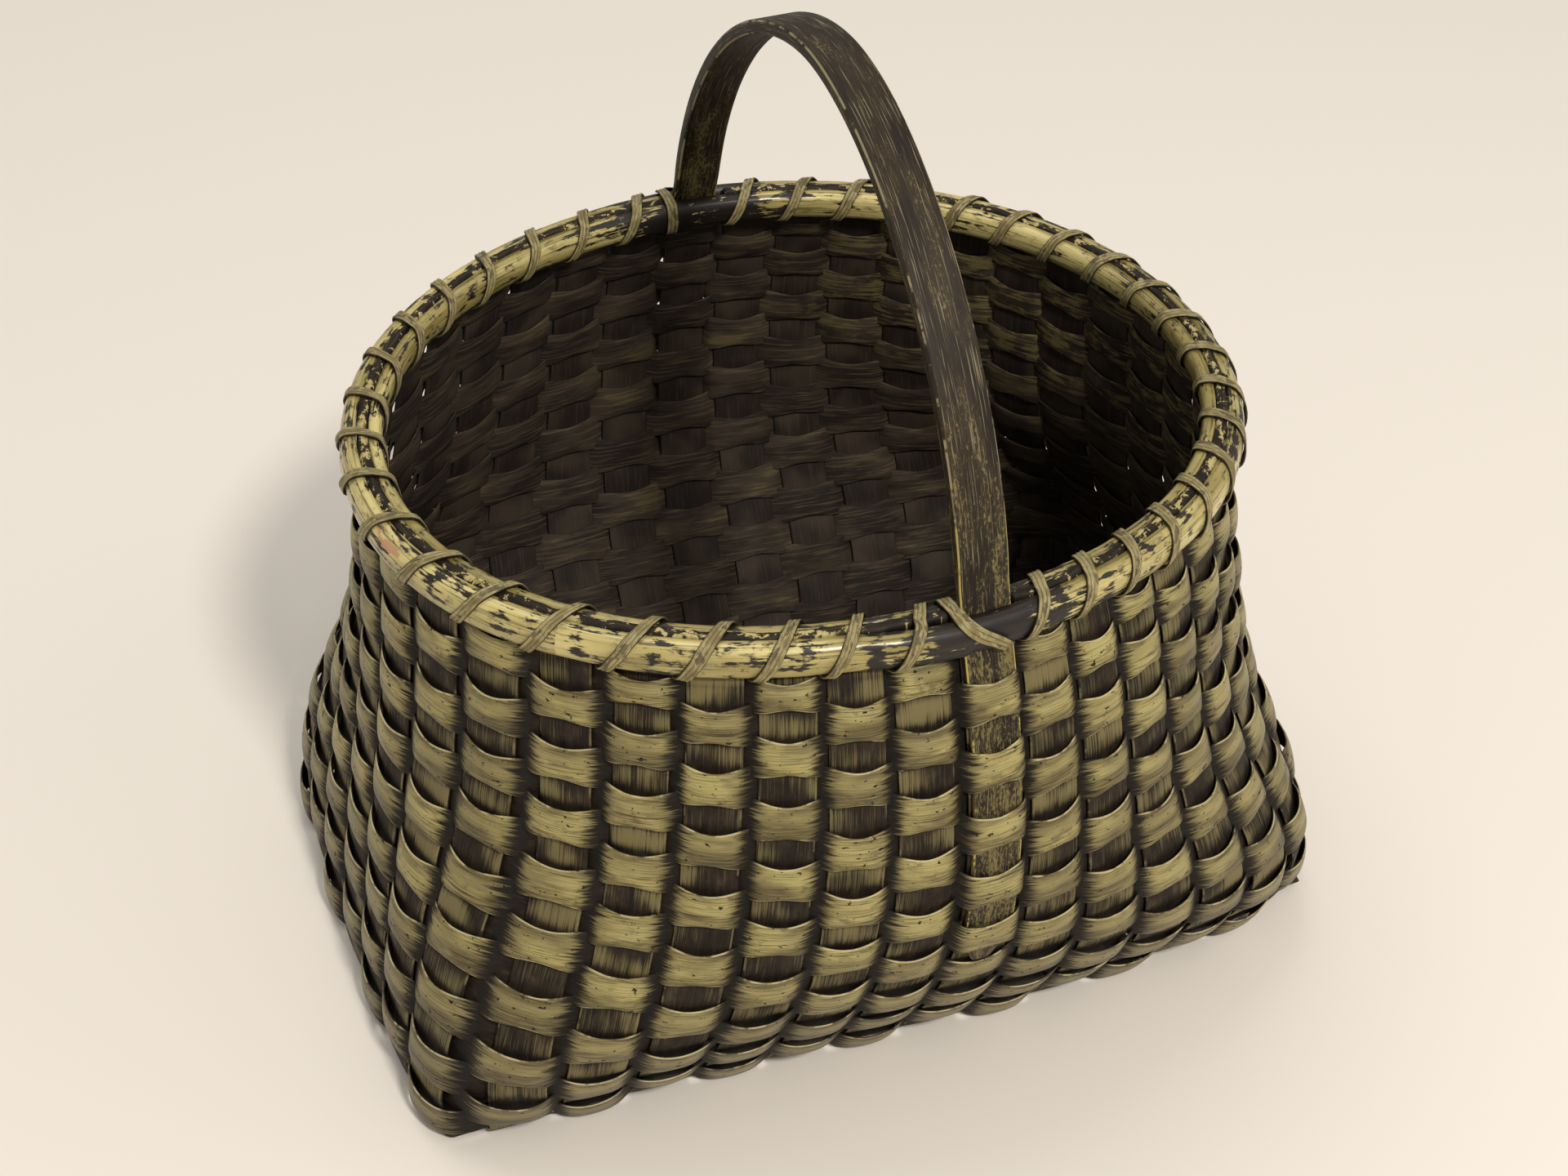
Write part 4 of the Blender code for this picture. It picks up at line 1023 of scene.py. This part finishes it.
def handle():
    near, far = handle_leg(NEAR_MIDDLE, 1), handle_leg(FAR_MIDDLE, -1)
    near_foot, far_foot = near[0][-1], far[0][-1]
    spring = RIM_Z - HANDLE_SPRING_BELOW_RIM
    middle_y = (near_foot[1] + far_foot[1]) / 2
    half_span = (far_foot[1] - near_foot[1]) / 2
    angles = np.linspace(0.02, math.pi - 0.02, HANDLE_ARCH_STEPS)
    cosine, sine = np.cos(angles), np.sin(angles)
    y = -half_span * np.sign(cosine) * np.abs(cosine) ** (2 / HANDLE_EXPONENT)
    z = spring + (HANDLE_RISE + HANDLE_SPRING_BELOW_RIM) * sine ** (2 / HANDLE_EXPONENT)
    keep = z > RIM_Z + HANDLE_ARCH_ABOVE_RIM
    y, z = y[keep], z[keep]
    x = near_foot[0] + (far_foot[0] - near_foot[0]) * (1 + y / half_span) / 2
    arch = np.stack([x, middle_y + y, z], axis=1)
    around = np.concatenate([near_foot[None], arch, far_foot[None]])
    ahead = unit(np.gradient(around, axis=0)[1:-1])
    outward = np.cross(np.array([1.0, 0.0, 0.0]), ahead)
    above = np.clip((z - RIM_Z - HANDLE_SWELL_START) / HANDLE_SWELL_LENGTH, 0, 1)
    thick = HANDLE_LEG_THICK + (HANDLE_THICK - HANDLE_LEG_THICK) * above
    side = np.tile([1.0, 0.0, 0.0], (len(arch), 1))
    centre = np.concatenate([near[0], arch, far[0][::-1]])
    across = np.concatenate([near[1], side, far[1][::-1]])
    out = np.concatenate([near[2], outward, far[2][::-1]])
    width = np.concatenate([near[3], np.full(len(arch), HANDLE_WIDTH), far[3][::-1]])
    thick = np.concatenate([near[4], thick, far[4][::-1]])
    for _ in range(HANDLE_SMOOTHINGS):
        for values in (centre, out, across):
            values[1:-1] = values[1:-1] * 0.5 + (values[:-2] + values[2:]) * 0.25
    out = unit(out)
    across = unit(across)
    top = [(-x, y) for x, y in HANDLE_HALF_SECTION[:0:-1]] + list(HANDLE_HALF_SECTION)
    shape = np.array(top + [(x, -y) for x, y in reversed(top)])
    along = run_length(centre)
    half_width = width / 2 * (1 + 0.012 * noise_line(along, 0.05, 271))
    half_thick = thick / 2 * (1 + 0.02 * noise_line(along, 0.06, 277))
    sideways, lift = shape[None, :, 0] * half_width[:, None], shape[None, :, 1] * half_thick[:, None]
    points = tube_points(centre, across, out, sideways, lift)
    closed = wrap(shape)
    around = run_length(closed * HANDLE_ROUND_SCALE)
    flow, mark = paint_grids(along, around, 281)
    low = np.clip((RIM_Z + HANDLE_SPECKS_TOP - centre[:, 2]) / HANDLE_SPECKS_LENGTH, 0, 1)
    mark[..., 0] = low[:, None]
    corner = np.clip((np.abs(closed[:, 0]) - 0.9) / 0.1, 0, 1)
    corner = corner * np.clip((np.abs(closed[:, 1]) - 0.5) / 0.5, 0, 1)
    mark[..., 1] = np.clip(0.75 + corner * 0.6, 0, 1)[None, :]
    mark[..., 2] = closed[None, :, 1]
    grid_piece("handle", points, flow, mark, HANDLE)


handle()

# ---------------------------------------------------------------- floor, light and camera

FLOOR_HALF_SIZE = 30.0
WORLD_STRENGTH = 0.46


def floor():
    data = bpy.data.meshes.new("pale_floor")
    far = FLOOR_HALF_SIZE
    data.from_pydata([(-far, -far, 0), (far, -far, 0), (far, far, 0), (-far, far, 0)], [], [(0, 1, 2, 3)])
    material = bpy.data.materials.new("pale_floor")
    material.use_nodes = True
    shader = material.node_tree.nodes["Principled BSDF"]
    shader.inputs["Base Color"].default_value = rgb("e9e2d8")
    shader.inputs["Roughness"].default_value = 0.75
    data.materials.append(material)
    made = bpy.data.objects.new("pale_floor", data)
    bpy.context.scene.collection.objects.link(made)


def area_light(name, place, target, size, power, colour):
    data = bpy.data.lights.new(name, "AREA")
    data.shape = "DISK"
    data.size = size
    data.energy = power
    data.color = colour
    made = bpy.data.objects.new(name, data)
    made.location = place
    made.rotation_mode = "QUATERNION"
    made.rotation_quaternion = (Vector(target) - Vector(place)).to_track_quat("-Z", "Y")
    bpy.context.scene.collection.objects.link(made)


floor()
area_light("key", (0.08, -2.10, 2.60), (0, 0, 0.12), 0.42, 66.0, (1.0, 0.95, 0.88))
area_light("fill", (2.6, -0.9, 2.1), (0, 0, 0.12), 1.8, 10.0, (1.0, 0.97, 0.93))
area_light("top", (-0.3, 1.3, 3.4), (0, 0, 0.1), 2.2, 30.0, (1.0, 0.98, 0.95))

world = bpy.data.worlds.new("studio")
world.use_nodes = True
world.node_tree.nodes["Background"].inputs["Color"].default_value = (1.0, 0.97, 0.93, 1.0)
world.node_tree.nodes["Background"].inputs["Strength"].default_value = WORLD_STRENGTH
bpy.context.scene.world = world
bpy.context.scene.view_settings.view_transform = "Standard"

CAMERA_PLACE = Vector((-0.3506, -0.7986, 0.8781))
CAMERA_AZIMUTH = math.radians(-23.32)
CAMERA_ELEVATION = math.radians(39.70)
CAMERA_ROLL = math.radians(1.23)
CAMERA_LENS = 55.9
forward = Vector(
    (
        -math.sin(CAMERA_AZIMUTH) * math.cos(CAMERA_ELEVATION),
        math.cos(CAMERA_AZIMUTH) * math.cos(CAMERA_ELEVATION),
        -math.sin(CAMERA_ELEVATION),
    )
)
level_right = forward.cross(Vector((0, 0, 1))).normalized()
level_up = level_right.cross(forward).normalized()
right = level_right * math.cos(CAMERA_ROLL) + level_up * math.sin(CAMERA_ROLL)
up = level_up * math.cos(CAMERA_ROLL) - level_right * math.sin(CAMERA_ROLL)
lens = bpy.data.cameras.new("camera")
lens.lens = CAMERA_LENS
lens.sensor_width = 36.0
lens.clip_start = 0.01
lens.clip_end = 100.0
camera = bpy.data.objects.new("camera", lens)
turned = Matrix((right, up, -forward)).transposed()
camera.matrix_world = Matrix.Translation(CAMERA_PLACE) @ turned.to_4x4()
bpy.context.scene.collection.objects.link(camera)
bpy.context.scene.camera = camera
